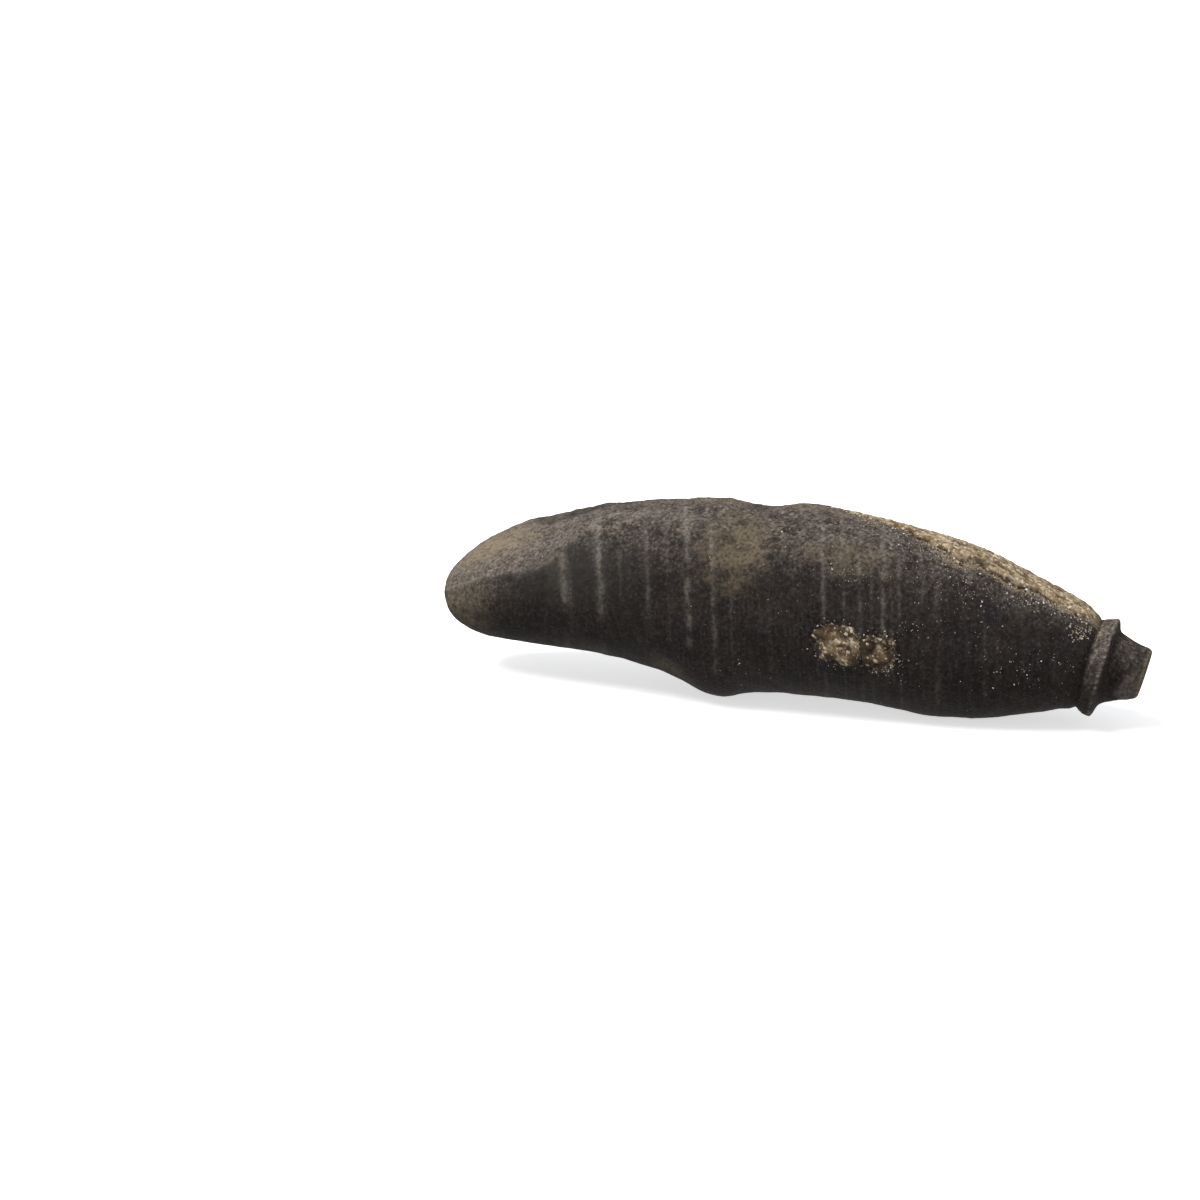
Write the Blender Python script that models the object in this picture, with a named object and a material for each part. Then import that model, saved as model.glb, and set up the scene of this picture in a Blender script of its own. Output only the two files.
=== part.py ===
"""Fossil sea urchin spine: a swollen, club-shaped cidaroid spine lying on its side.

One grown piece: blunt tip, swollen shaft, milled collar and a short base with its socket.
Remnants of sandy matrix are stuck to its back and fill two pits in its side.
The tip is at -X and the base at +X. The front is -Y. All sizes below are in millimetres.
"""

import math

import bmesh
import bpy
from mathutils import Vector, noise

MM = 0.001
NODE_NAME = "urchin_spine"

# The shaft, from the tip to its end at the collar. Each row is a cross-section:
# place along X, height of the axis, lean of the section in degrees, half height, half width.
TIP_X = -30.2
SHAFT_END_X = 24.95
SHAFT_SECTIONS = (
    (TIP_X, 6.45, -12.0, 0.0, 0.0),
    (-29.8, 6.55, -12.0, 1.95, 2.1),
    (-28.6, 6.80, -11.0, 3.15, 3.4),
    (-26.5, 7.35, -10.0, 4.25, 4.5),
    (-23.3, 8.10, -8.0, 5.15, 5.4),
    (-19.0, 8.75, -4.0, 5.98, 6.15),
    (-14.7, 9.10, -1.0, 6.70, 6.85),
    (-10.4, 9.00, 0.0, 7.42, 7.50),
    (-6.2, 8.60, 0.0, 7.95, 7.95),
    (-2.0, 8.45, 0.0, 7.90, 8.05),
    (2.0, 8.55, 2.0, 7.90, 8.10),
    (6.1, 8.20, 5.0, 7.65, 7.90),
    (10.2, 7.52, 7.0, 7.32, 7.60),
    (14.2, 6.92, 9.0, 6.96, 7.15),
    (18.2, 6.25, 9.5, 6.10, 6.35),
    (22.2, 5.77, 10.5, 4.98, 5.15),
    (24.2, 5.52, 12.0, 4.30, 4.40),
    (SHAFT_END_X, 5.38, 12.5, 4.02, 4.06),
)

# The collar and the base: place along X of the section's middle, height, lean, radius.
COLLAR_SECTIONS = (
    (25.15, 5.32, 12.5, 3.86),
    (25.32, 5.25, 12.5, 3.72),
    (25.48, 5.19, 12.5, 3.78),
    (25.66, 5.13, 12.5, 3.90),
    (25.90, 5.07, 12.5, 4.00),
    (26.18, 5.03, 12.5, 4.09),
    (26.44, 5.01, 12.5, 4.14),
    (26.62, 5.01, 12.6, 4.10),
    (26.76, 5.01, 12.7, 3.90),
    (26.88, 5.01, 12.8, 3.52),
    (27.02, 5.01, 12.9, 3.20),
    (27.30, 5.00, 13.0, 2.98),
    (28.10, 4.91, 13.2, 2.63),
    (28.90, 4.82, 13.6, 2.36),
    (29.45, 4.77, 13.9, 2.22),
    (29.78, 4.75, 14.0, 2.06),
    (29.92, 4.75, 14.0, 1.80),
)
# The socket in the end of the base, from its rim to its floor.
SOCKET_SECTIONS = (
    (29.86, 4.75, 14.0, 1.46),
    (29.64, 4.75, 14.0, 1.08),
    (29.48, 4.75, 14.0, 0.66),
    (29.42, 4.75, 14.0, 0.28),
)
SOCKET_FLOOR = (29.40, 4.75)

COLLAR_CREST_X = 26.30
COLLAR_TEETH = 48
TOOTH_DEPTH = 0.06
TOOTH_REACH = 0.75
COLLAR_LUMP_SIZE = 1.6
COLLAR_LUMP_SHARE = 0.014

# The worn plane on top of the tip. Each row: place along X, where its middle faces
# (degrees from straight up towards the front), half of its span, and how far it is worn (0 to 1).
TIP_PLANE = (
    (-30.2, 24.0, 44.0, 0.6),
    (-24.0, 24.0, 43.0, 0.8),
    (-20.6, 23.0, 43.0, 0.8),
    (-19.0, 20.0, 40.0, 0.8),
    (-17.8, 14.0, 34.0, 0.8),
    (-16.6, 8.0, 27.0, 0.75),
    (-14.6, 1.0, 21.0, 0.65),
    (-8.0, -4.0, 17.0, 0.4),
    (-3.0, -4.0, 12.0, 0.0),
)
# How far the plane's edge is rounded, as a share of the radius.
PLANE_SOFTNESS = 0.13

# Swellings and hollows: place along X, angle from the top towards the front, reach along X,
# reach around in degrees, height (negative is a hollow).
SWELLINGS = (
    (-5.3, 172.0, 2.3, 40.0, 0.72),
    (14.6, 180.0, 4.2, 34.0, 0.17),
    (-4.6, 122.0, 0.9, 5.0, 0.14),
    (-9.4, 116.0, 1.4, 9.0, 0.12),
    (-12.6, 118.0, 2.6, 16.0, -0.16),
    (-6.8, -12.0, 2.4, 26.0, 0.14),
    (-2.7, -10.0, 1.5, 24.0, -0.20),
    (2.2, -14.0, 3.0, 24.0, 0.10),
    (-11.0, -86.0, 4.0, 22.0, -0.28),
    (4.0, -104.0, 5.0, 20.0, 0.14),
    (12.0, -60.0, 4.0, 20.0, -0.18),
    (-21.0, -70.0, 3.2, 22.0, 0.22),
)

# Pits in the shaft: place along X, angle, radius along X, radius around, depth.
PITS = (
    (-12.4, 7.0, 0.85, 0.34, 0.24),
    (-9.8, 8.5, 0.90, 0.40, 0.22),
    (-6.4, 31.0, 0.62, 0.42, 0.24),
    (-3.8, 38.6, 0.95, 0.62, 0.30),
    (-3.2, 22.0, 0.60, 0.44, 0.24),
    (-2.1, 43.0, 0.52, 0.40, 0.24),
    (-11.1, 58.0, 0.70, 0.70, 0.16),
    (-22.6, 74.0, 0.44, 0.34, 0.20),
    (-15.6, 40.0, 0.60, 0.42, 0.14),
    (-18.6, 14.0, 0.46, 0.40, 0.20),
    (-8.6, 46.0, 0.48, 0.40, 0.14),
    (1.8, 30.0, 1.30, 0.80, 0.16),
    (-0.8, 12.0, 1.10, 0.50, 0.16),
    (-16.4, -52.0, 0.90, 0.60, 0.22),
    (-2.6, -72.0, 1.10, 0.62, 0.28),
    (7.6, -118.0, 0.80, 0.60, 0.24),
    (-9.8, -128.0, 0.70, 0.50, 0.20),
)

# Pits filled with sandy matrix: place along X, angle, radius along X, radius around, depth.
MATRIX_PITS = (
    (6.1, 95.6, 1.75, 1.70, 0.30),
    (9.3, 95.5, 1.35, 1.35, 0.26),
    (-4.4, -108.0, 1.90, 1.40, 0.30),
)

# The sandy crust along the back of the shaft: its front and rear edge as angles.
# Each row: place along X, front edge, rear edge, thickness.
CRUST_EDGES = (
    (2.5, -8.0, -22.0, 0.0),
    (6.0, -4.0, -34.0, 0.10),
    (8.6, 0.0, -44.0, 0.20),
    (10.5, 11.0, -52.0, 0.26),
    (12.2, 19.0, -58.0, 0.30),
    (17.0, 21.0, -54.0, 0.34),
    (20.5, 22.0, -46.0, 0.26),
    (24.0, 31.0, -38.0, 0.14),
    (25.0, 34.0, -36.0, 0.0),
)
CRUST_EDGE_SLOPE = 9.0
CRUST_EDGE_WANDER = 9.0
CRUST_EDGE_BEND_SIZE = 2.2
CRUST_LUMP_SIZE = 0.77
CRUST_LUMP_HEIGHT = 0.13

# The matrix in its pits: how its edge wanders, and the lumps of its surface as a share of the depth.
MATRIX_EDGE = 1.15
MATRIX_EDGE_SLOPE = 0.3
MATRIX_EDGE_WANDER = 0.35
MATRIX_EDGE_BEND_SIZE = 1.1
MATRIX_LUMP_SIZE = 0.45
MATRIX_LUMP_SHARE = 0.5
MATRIX_SUNK_SHARE = 0.45

# Low lumps and fine wrinkles all over the shaft: size across and height.
LUMP_SIZE = 5.2
LUMP_HEIGHT = 0.16
WRINKLE_SIZE = 1.5
WRINKLE_HEIGHT = 0.05

# A pit's rim lies a little outside its stated size, because its wall eases into the surface.
PIT_RIM = 1.3

# The relief fades out where the shaft is thinner than this at the tip, and over this length at the collar.
TIP_FADE_RADIUS = 2.6
COLLAR_FADE_LENGTH = 0.9

# The mesh is made fine, then thinned to the faces that its relief needs.
SHAFT_RINGS = 170
POINTS_AROUND = 192
KEPT_TRIANGLES = 9600

FLOOR_CUTTER_SIZE = 80.0


def smooth_between(rows, column, x, bend=lambda value: value):
    """The column's value at x, on a smooth curve through the rows."""
    places = [bend(row[0]) for row in rows]
    values = [row[column] for row in rows]
    at = min(max(bend(x), places[0]), places[-1])
    last = len(rows) - 1
    i = next(k for k in range(last) if at <= places[k + 1])
    span = places[i + 1] - places[i]

    def slope(k):
        low, high = max(k - 1, 0), min(k + 1, last)
        return (values[high] - values[low]) / (places[high] - places[low])

    t = (at - places[i]) / span
    return (
        values[i] * (1 + 2 * t) * (1 - t) ** 2
        + values[i + 1] * t * t * (3 - 2 * t)
        + span * t * (1 - t) * (slope(i) * (1 - t) - slope(i + 1) * t)
    )


def straight_between(rows, column, x):
    """The column's value at x, on straight lines through the rows, and its end value past them."""
    if x <= rows[0][0]:
        return rows[0][column]
    for low, high in zip(rows, rows[1:]):
        if x <= high[0]:
            share = (x - low[0]) / (high[0] - low[0])
            return low[column] + share * (high[column] - low[column])
    return rows[-1][column]


def from_tip(x):
    """The root of the distance from the tip, in which a round end is a straight line."""
    return math.sqrt(max(x - TIP_X, 0.0))


def angle_apart(a, b):
    """The signed angle from b to a, from -180 to 180 degrees."""
    return (a - b + 180.0) % 360.0 - 180.0


def ease(value):
    """0 below 0, 1 above 1, and smooth between."""
    value = min(max(value, 0.0), 1.0)
    return value * value * (3 - 2 * value)


def mound(distance):
    """A round hump of height 1 that ends at distance 1."""
    return (1 - distance * distance) ** 2 if distance < 1 else 0.0


def rounded_corner(depth, softness):
    """The depth where it is positive and 0 where it is negative, with the corner between rounded."""
    reach = min(max(depth + softness, 0.0), 2 * softness)
    return reach * reach / (4 * softness) + max(depth - softness, 0.0)


def shaft_section(x):
    """Height of the axis, lean, half height and half width of the shaft at x."""
    return [smooth_between(SHAFT_SECTIONS, column, x, from_tip) for column in (1, 2, 3, 4)]


def worn_by_plane(x, angle):
    """The share of the radius that the worn plane on the tip leaves."""
    if x > TIP_PLANE[-1][0]:
        return 1.0
    facing = straight_between(TIP_PLANE, 1, x)
    half_span = straight_between(TIP_PLANE, 2, x)
    wear = straight_between(TIP_PLANE, 3, x)
    towards_plane = math.cos(math.radians(angle_apart(angle, facing)))
    if towards_plane <= 0:
        return 1.0
    depth = 1 - math.cos(math.radians(half_span)) / towards_plane
    return 1 - wear * rounded_corner(depth, PLANE_SOFTNESS)


def crust_share(x, angle, wander):
    """How fully the crust covers this place, from 0 to 1."""
    if not CRUST_EDGES[0][0] < x < CRUST_EDGES[-1][0]:
        return 0.0
    front = straight_between(CRUST_EDGES, 1, x) + wander
    rear = straight_between(CRUST_EDGES, 2, x) - wander
    turn = angle_apart(angle, 0.0)
    return ease(min(front - turn, turn - rear) / CRUST_EDGE_SLOPE)


def relief(x, angle, radius, place):
    """How far the surface stands out from the smooth section, in millimetres."""
    height = 0.0
    for at_x, at_angle, reach, reach_around, rise in SWELLINGS:
        along = (x - at_x) / reach
        around = angle_apart(angle, at_angle) / reach_around
        height += rise * math.exp(-along * along - around * around)
    arc = math.radians(radius)
    for at_x, at_angle, half_length, half_width, depth in PITS:
        along = (x - at_x) / half_length
        around = angle_apart(angle, at_angle) * arc / half_width
        height -= depth * mound(math.hypot(along, around) / PIT_RIM)
    for at_x, at_angle, half_length, half_width, depth in MATRIX_PITS:
        along = (x - at_x) / half_length
        around = angle_apart(angle, at_angle) * arc / half_width
        wander = MATRIX_EDGE_WANDER * noise.noise(place / MATRIX_EDGE_BEND_SIZE)
        sunk = ease((MATRIX_EDGE - math.hypot(along, around) - wander) / MATRIX_EDGE_SLOPE)
        lump = MATRIX_LUMP_SHARE * noise.noise(place / MATRIX_LUMP_SIZE)
        height += sunk * depth * (lump - MATRIX_SUNK_SHARE)
    height += LUMP_HEIGHT * noise.noise(place / LUMP_SIZE)
    height += WRINKLE_HEIGHT * noise.noise(place / WRINKLE_SIZE)
    wander = CRUST_EDGE_WANDER * noise.noise(place / CRUST_EDGE_BEND_SIZE)
    crust = crust_share(x, angle, wander)
    if crust > 0:
        thickness = straight_between(CRUST_EDGES, 3, x)
        height += crust * (thickness + CRUST_LUMP_HEIGHT * noise.noise(place / CRUST_LUMP_SIZE))
    return height


def on_section(middle_x, middle_z, lean, up, across, angle):
    """A point of a leaning section, at an angle from the top towards the front."""
    tilt, turn = math.radians(lean), math.radians(angle)
    rise = up * math.cos(turn)
    return Vector(
        (
            middle_x + rise * math.sin(tilt),
            -across * math.sin(turn),
            middle_z + rise * math.cos(tilt),
        )
    )


def shaft_ring(x):
    """The points of one ring of the shaft."""
    height, lean, half_height, half_width = shaft_section(x)
    # The relief fades out at the very tip, where the ring closes to a point, and at the collar.
    fade = ease(half_height / TIP_FADE_RADIUS) * ease((SHAFT_END_X - x) / COLLAR_FADE_LENGTH)
    points = []
    for i in range(POINTS_AROUND):
        angle = 360.0 * i / POINTS_AROUND
        smooth = on_section(x, height, lean, half_height, half_width, angle)
        raised = fade * relief(x, angle, half_height, smooth)
        scale = worn_by_plane(x, angle) * (1 + raised / max(half_height, 1.0))
        points.append(
            on_section(x, height, lean, half_height * scale, half_width * scale, angle)
        )
    return points


def collar_ring(x, height, lean, radius):
    """The points of one ring of the collar, base or socket, with the collar's teeth."""
    near_crest = mound((x - COLLAR_CREST_X) / TOOTH_REACH)
    points = []
    for i in range(POINTS_AROUND):
        angle = 360.0 * i / POINTS_AROUND
        tooth = TOOTH_DEPTH * near_crest * math.cos(math.radians(angle * COLLAR_TEETH))
        size = radius + tooth
        lump = noise.noise(on_section(x, height, lean, size, size, angle) / COLLAR_LUMP_SIZE)
        size *= 1 + COLLAR_LUMP_SHARE * lump
        points.append(on_section(x, height, lean, size, size, angle))
    return points


def shaft_places():
    """Where the shaft's rings stand: close together at the round tip and at the collar."""
    reach = from_tip(SHAFT_END_X)
    places = []
    for i in range(1, SHAFT_RINGS + 1):
        share = i / SHAFT_RINGS
        by_root = (reach * share) ** 2
        evenly = (SHAFT_END_X - TIP_X) * share
        weight = max(0.0, 1 - share * 4)
        places.append(TIP_X + weight * by_root + (1 - weight) * evenly)
    return places


def add_spine():
    """The whole spine as one closed mesh object."""
    mesh = bmesh.new()
    rings = [shaft_ring(x) for x in shaft_places()]
    rings += [collar_ring(*row) for row in COLLAR_SECTIONS + SOCKET_SECTIONS]
    loops = [[mesh.verts.new(point * MM) for point in ring] for ring in rings]
    tip = mesh.verts.new(Vector((TIP_X, 0.0, SHAFT_SECTIONS[0][1])) * MM)
    socket = mesh.verts.new(Vector((SOCKET_FLOOR[0], 0.0, SOCKET_FLOOR[1])) * MM)
    for i in range(POINTS_AROUND):
        j = (i + 1) % POINTS_AROUND
        mesh.faces.new((tip, loops[0][i], loops[0][j]))
        mesh.faces.new((loops[-1][j], loops[-1][i], socket))
        for near, far in zip(loops, loops[1:]):
            mesh.faces.new((near[j], near[i], far[i], far[j]))
    bmesh.ops.recalc_face_normals(mesh, faces=mesh.faces)
    data = bpy.data.meshes.new(NODE_NAME)
    mesh.to_mesh(data)
    mesh.free()
    spine = bpy.data.objects.new(NODE_NAME, data)
    bpy.context.scene.collection.objects.link(spine)
    return spine


def add_floor_cutter():
    """A block under the floor, which wears the flats that the spine rests on."""
    mesh = bmesh.new()
    bmesh.ops.create_cube(mesh, size=FLOOR_CUTTER_SIZE * MM)
    data = bpy.data.meshes.new("floor_cutter")
    mesh.to_mesh(data)
    mesh.free()
    cutter = bpy.data.objects.new("floor_cutter", data)
    cutter.location.z = -FLOOR_CUTTER_SIZE / 2 * MM
    cutter.hide_render = True
    cutter.display_type = "WIRE"
    bpy.context.scene.collection.objects.link(cutter)
    return cutter


def finish_spine(spine, cutter):
    """Thins the mesh to the faces that its relief needs, and cuts the flats it rests on."""
    triangles = sum(len(face.vertices) - 2 for face in spine.data.polygons)
    thin = spine.modifiers.new("thin", "DECIMATE")
    thin.ratio = KEPT_TRIANGLES / triangles
    flats = spine.modifiers.new("resting flats", "BOOLEAN")
    flats.operation = "DIFFERENCE"
    flats.solver = "EXACT"
    flats.object = cutter


def fossil_calcite():
    """Dark grey-brown calcite with a dull surface."""
    material = bpy.data.materials.new("fossil_calcite")
    material.use_nodes = True
    shader = material.node_tree.nodes["Principled BSDF"]
    shader.inputs["Base Color"].default_value = (0.085, 0.072, 0.064, 1.0)
    shader.inputs["Roughness"].default_value = 0.62
    shader.inputs["Metallic"].default_value = 0.0
    return material


def main():
    for item in list(bpy.data.objects):
        bpy.data.objects.remove(item)
    spine = add_spine()
    finish_spine(spine, add_floor_cutter())
    spine.data.materials.append(fossil_calcite())
    spine.data.shade_smooth()


main()
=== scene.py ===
"""Looks of a fossil sea urchin spine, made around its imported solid.

The spine grew as one piece and its skin is shown as two meshes that meet in the groove of the
collar: the shaft, and the collar with the base. On them lie remnants of sandy matrix: a crust along
the back, the fill of three pits and loose sand grains.
The tip is at -X and the base at +X, and the front is -Y. Sizes are in millimetres unless said.
"""

import math

import bmesh
import bpy
import numpy as np
from bpy.props import (
    FloatProperty,
    FloatVectorProperty,
    IntProperty,
    PointerProperty,
)
from bpy.types import Operator, Panel, PropertyGroup
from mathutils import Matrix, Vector, noise


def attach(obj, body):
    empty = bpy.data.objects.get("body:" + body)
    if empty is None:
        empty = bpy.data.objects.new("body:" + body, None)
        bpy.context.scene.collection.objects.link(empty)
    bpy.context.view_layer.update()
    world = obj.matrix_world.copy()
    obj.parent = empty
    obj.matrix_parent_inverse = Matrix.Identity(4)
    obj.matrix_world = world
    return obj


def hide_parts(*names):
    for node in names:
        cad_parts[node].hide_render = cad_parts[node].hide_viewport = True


bl_info = {
    "name": "Fossil Urchin Spine",
    "version": (1, 0, 0),
    "blender": (4, 5, 0),
    "location": "View3D > Sidebar > Urchin Spine",
    "description": "Builds the skin, the matrix remnants and the studio of a fossil sea urchin spine",
    "category": "Add Mesh",
}

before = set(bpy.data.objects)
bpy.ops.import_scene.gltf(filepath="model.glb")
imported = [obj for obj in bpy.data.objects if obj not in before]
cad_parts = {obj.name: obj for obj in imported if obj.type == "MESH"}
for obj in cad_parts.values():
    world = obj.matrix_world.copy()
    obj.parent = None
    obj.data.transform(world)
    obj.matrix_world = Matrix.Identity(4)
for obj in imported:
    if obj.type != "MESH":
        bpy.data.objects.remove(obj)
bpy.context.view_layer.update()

MM = 0.001
NODE_NAME = "urchin_spine"
BODY_NAME = "root"

# The shaft: place along X, height of the axis, lean in degrees, half height, half width.
TIP_X = -30.2
SHAFT_END_X = 24.95
SHAFT_SECTIONS = (
    (TIP_X, 6.45, -12.0, 0.0, 0.0),
    (-29.8, 6.55, -12.0, 1.95, 2.1),
    (-28.6, 6.80, -11.0, 3.15, 3.4),
    (-26.5, 7.35, -10.0, 4.25, 4.5),
    (-23.3, 8.10, -8.0, 5.15, 5.4),
    (-19.0, 8.75, -4.0, 5.98, 6.15),
    (-14.7, 9.10, -1.0, 6.70, 6.85),
    (-10.4, 9.00, 0.0, 7.42, 7.50),
    (-6.2, 8.60, 0.0, 7.95, 7.95),
    (-2.0, 8.45, 0.0, 7.90, 8.05),
    (2.0, 8.55, 2.0, 7.90, 8.10),
    (6.1, 8.20, 5.0, 7.65, 7.90),
    (10.2, 7.52, 7.0, 7.32, 7.60),
    (14.2, 6.92, 9.0, 6.96, 7.15),
    (18.2, 6.25, 9.5, 6.10, 6.35),
    (22.2, 5.77, 10.5, 4.98, 5.15),
    (24.2, 5.52, 12.0, 4.30, 4.40),
    (SHAFT_END_X, 5.38, 12.5, 4.02, 4.06),
)
# Past its end the shaft runs on inside the collar, where its mesh is closed.
SHAFT_TAIL = (
    (25.15, 5.32, 12.5, 3.86),
    (25.32, 5.25, 12.5, 3.70),
    (25.60, 5.16, 12.5, 3.40),
)

# The collar and the base: place along X of the section's middle, height, lean, radius.
COLLAR_SECTIONS = (
    (25.20, 5.30, 12.5, 3.30),
    (25.26, 5.28, 12.5, 3.64),
    (25.36, 5.24, 12.5, 3.73),
    (25.48, 5.19, 12.5, 3.79),
    (25.66, 5.13, 12.5, 3.90),
    (25.90, 5.07, 12.5, 4.00),
    (26.18, 5.03, 12.5, 4.09),
    (26.44, 5.01, 12.5, 4.14),
    (26.62, 5.01, 12.6, 4.10),
    (26.76, 5.01, 12.7, 3.90),
    (26.88, 5.01, 12.8, 3.52),
    (27.02, 5.01, 12.9, 3.20),
    (27.30, 5.00, 13.0, 2.98),
    (28.10, 4.91, 13.2, 2.63),
    (28.90, 4.82, 13.6, 2.36),
    (29.45, 4.77, 13.9, 2.22),
    (29.78, 4.75, 14.0, 2.06),
    (29.92, 4.75, 14.0, 1.80),
    (29.86, 4.75, 14.0, 1.46),
    (29.64, 4.75, 14.0, 1.08),
    (29.48, 4.75, 14.0, 0.66),
    (29.42, 4.75, 14.0, 0.28),
    (29.40, 4.75, 14.0, 0.02),
)
COLLAR_START_X = 25.20
CREST_X = 26.54
BASE_END_X = 29.92

# The worn plane on the tip: place along X, facing, half span (degrees), wear from 0 to 1.
TIP_PLANE = (
    (-30.2, 24.0, 44.0, 0.6),
    (-24.0, 24.0, 43.0, 0.8),
    (-20.6, 23.0, 43.0, 0.8),
    (-19.0, 20.0, 40.0, 0.8),
    (-17.8, 14.0, 34.0, 0.8),
    (-16.6, 8.0, 27.0, 0.75),
    (-14.6, 1.0, 21.0, 0.65),
    (-8.0, -4.0, 17.0, 0.4),
    (-3.0, -4.0, 12.0, 0.0),
)
PLANE_SOFTNESS = 0.13

# Place along X, angle from the top towards the front, reach along X, reach in degrees, height.
SWELLINGS = (
    (-5.3, 172.0, 2.3, 40.0, 0.72),
    (14.6, 180.0, 4.2, 34.0, 0.17),
    (-4.6, 122.0, 0.9, 5.0, 0.14),
    (-9.4, 116.0, 1.4, 9.0, 0.12),
    (-12.6, 118.0, 2.6, 16.0, -0.16),
    (-6.8, -12.0, 2.4, 26.0, 0.14),
    (-2.7, -10.0, 1.5, 24.0, -0.20),
    (2.2, -14.0, 3.0, 24.0, 0.10),
    (-11.0, -86.0, 4.0, 22.0, -0.28),
    (4.0, -104.0, 5.0, 20.0, 0.14),
    (12.0, -60.0, 4.0, 20.0, -0.18),
    (-21.0, -70.0, 3.2, 22.0, 0.22),
)

# Place along X, angle, half length along X, half width around, depth.
PITS = (
    (-12.4, 7.0, 0.85, 0.34, 0.24),
    (-9.8, 8.5, 0.90, 0.40, 0.22),
    (-6.4, 31.0, 0.62, 0.42, 0.24),
    (-3.8, 38.6, 0.95, 0.62, 0.30),
    (-3.2, 22.0, 0.60, 0.44, 0.24),
    (-2.1, 43.0, 0.52, 0.40, 0.24),
    (-11.1, 58.0, 0.70, 0.70, 0.16),
    (-22.6, 74.0, 0.44, 0.34, 0.20),
    (-15.6, 40.0, 0.60, 0.42, 0.14),
    (-18.6, 14.0, 0.46, 0.40, 0.20),
    (-8.6, 46.0, 0.48, 0.40, 0.14),
    (1.8, 30.0, 1.30, 0.80, 0.16),
    (-0.8, 12.0, 1.10, 0.50, 0.16),
    (-16.4, -52.0, 0.90, 0.60, 0.22),
    (-2.6, -72.0, 1.10, 0.62, 0.28),
    (7.6, -118.0, 0.80, 0.60, 0.24),
    (-9.8, -128.0, 0.70, 0.50, 0.20),
)
PIT_RIM = 1.3

# Pits filled with matrix: place along X, angle, half length along X, half width around, depth,
# how far the fill stands above the pit's floor, and how dark it is, from 0 to 1.
MATRIX_PITS = (
    (6.1, 95.6, 1.75, 1.70, 0.30, 0.07, 0.0),
    (9.3, 95.5, 1.35, 1.35, 0.26, 0.02, 0.8),
    (-4.4, -108.0, 1.90, 1.40, 0.30, 0.07, 0.2),
)
MATRIX_EDGE = 1.15
MATRIX_EDGE_SLOPE = 0.3
MATRIX_EDGE_WANDER = 0.35
MATRIX_EDGE_BEND_SIZE = 1.1
MATRIX_LUMP_SIZE = 0.45
MATRIX_LUMP_SHARE = 0.5

# The sandy crust on the back: place along X, front edge angle, rear edge angle, thickness.
CRUST_EDGES = (
    (2.5, -8.0, -22.0, 0.0),
    (6.0, -4.0, -34.0, 0.10),
    (8.6, 0.0, -44.0, 0.20),
    (10.5, 10.0, -52.0, 0.26),
    (12.2, 17.0, -58.0, 0.30),
    (17.0, 19.0, -54.0, 0.34),
    (20.5, 19.0, -46.0, 0.26),
    (24.0, 24.0, -38.0, 0.14),
    (25.0, 26.0, -36.0, 0.0),
)
CRUST_EDGE_SLOPE = 9.0
CRUST_EDGE_WANDER = 9.0
CRUST_EDGE_BEND_SIZE = 2.2
CRUST_LUMP_SIZE = 0.77
CRUST_LUMP_HEIGHT = 0.13
CRUST_CLEARANCE = 0.05
# How far the underside of the crust and the fills lies inside the skin.
SHEET_DEPTH = 0.45

# The weathered zone of the back, which is also painted lighter as if lit from above: place along X, and
# the angle of its front or its rear edge.
UPPER_FRONT = (
    (-30.0, 150.0),
    (-24.0, 112.0),
    (-19.0, 84.0),
    (-10.9, 74.0),
    (-0.7, 73.0),
    (6.4, 72.0),
    (10.1, 64.0),
    (18.0, 60.0),
    (24.0, 56.0),
)
UPPER_REAR = ((-30.0, -110.0), (-8.0, -96.0), (4.0, -98.0), (24.0, -90.0))
UPPER_EDGE_SLOPE = 56.0

LUMP_SIZE = 5.2
LUMP_HEIGHT = 0.16
WRINKLE_SIZE = 1.5
WRINKLE_HEIGHT = 0.05
TIP_FADE_RADIUS = 2.6
COLLAR_FADE_LENGTH = 0.9

# Pale growth bands. They lie in planes that fan out slightly: place of the plane on the axis,
# half width, strength, and the angles between which it shows most.
BANDS = (
    (-19.7, 0.34, 0.75, 48.0, 92.0),
    (-19.1, 0.16, 0.40, 70.0, 118.0),
    (-16.4, 0.30, 1.00, 4.0, 100.0),
    (-14.6, 0.14, 0.25, 20.0, 80.0),
    (-12.1, 0.20, 0.45, 20.0, 100.0),
    (-10.3, 0.14, 0.25, 40.0, 110.0),
    (-8.6, 0.24, 0.85, -4.0, 104.0),
    (-6.4, 0.20, 0.70, 36.0, 124.0),
    (-4.9, 0.12, 0.25, 70.0, 120.0),
    (-1.6, 0.12, 0.20, 70.0, 120.0),
    (3.15, 0.16, 0.65, 14.0, 76.0),
    (4.86, 0.14, 0.45, 24.0, 84.0),
    (6.2, 0.14, 0.55, 44.0, 84.0),
    (7.2, 0.12, 0.35, 24.0, 64.0),
    (8.2, 0.20, 0.90, 4.0, 100.0),
    (8.9, 0.12, 0.45, 60.0, 112.0),
    (9.55, 0.13, 0.55, 34.0, 72.0),
    (11.5, 0.14, 0.30, 24.0, 56.0),
    (12.7, 0.18, 0.50, 100.0, 124.0),
    (16.6, 0.14, 0.25, 60.0, 120.0),
)
BAND_FAN = (0.242, -0.0043, 0.05, 9.0)

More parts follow.
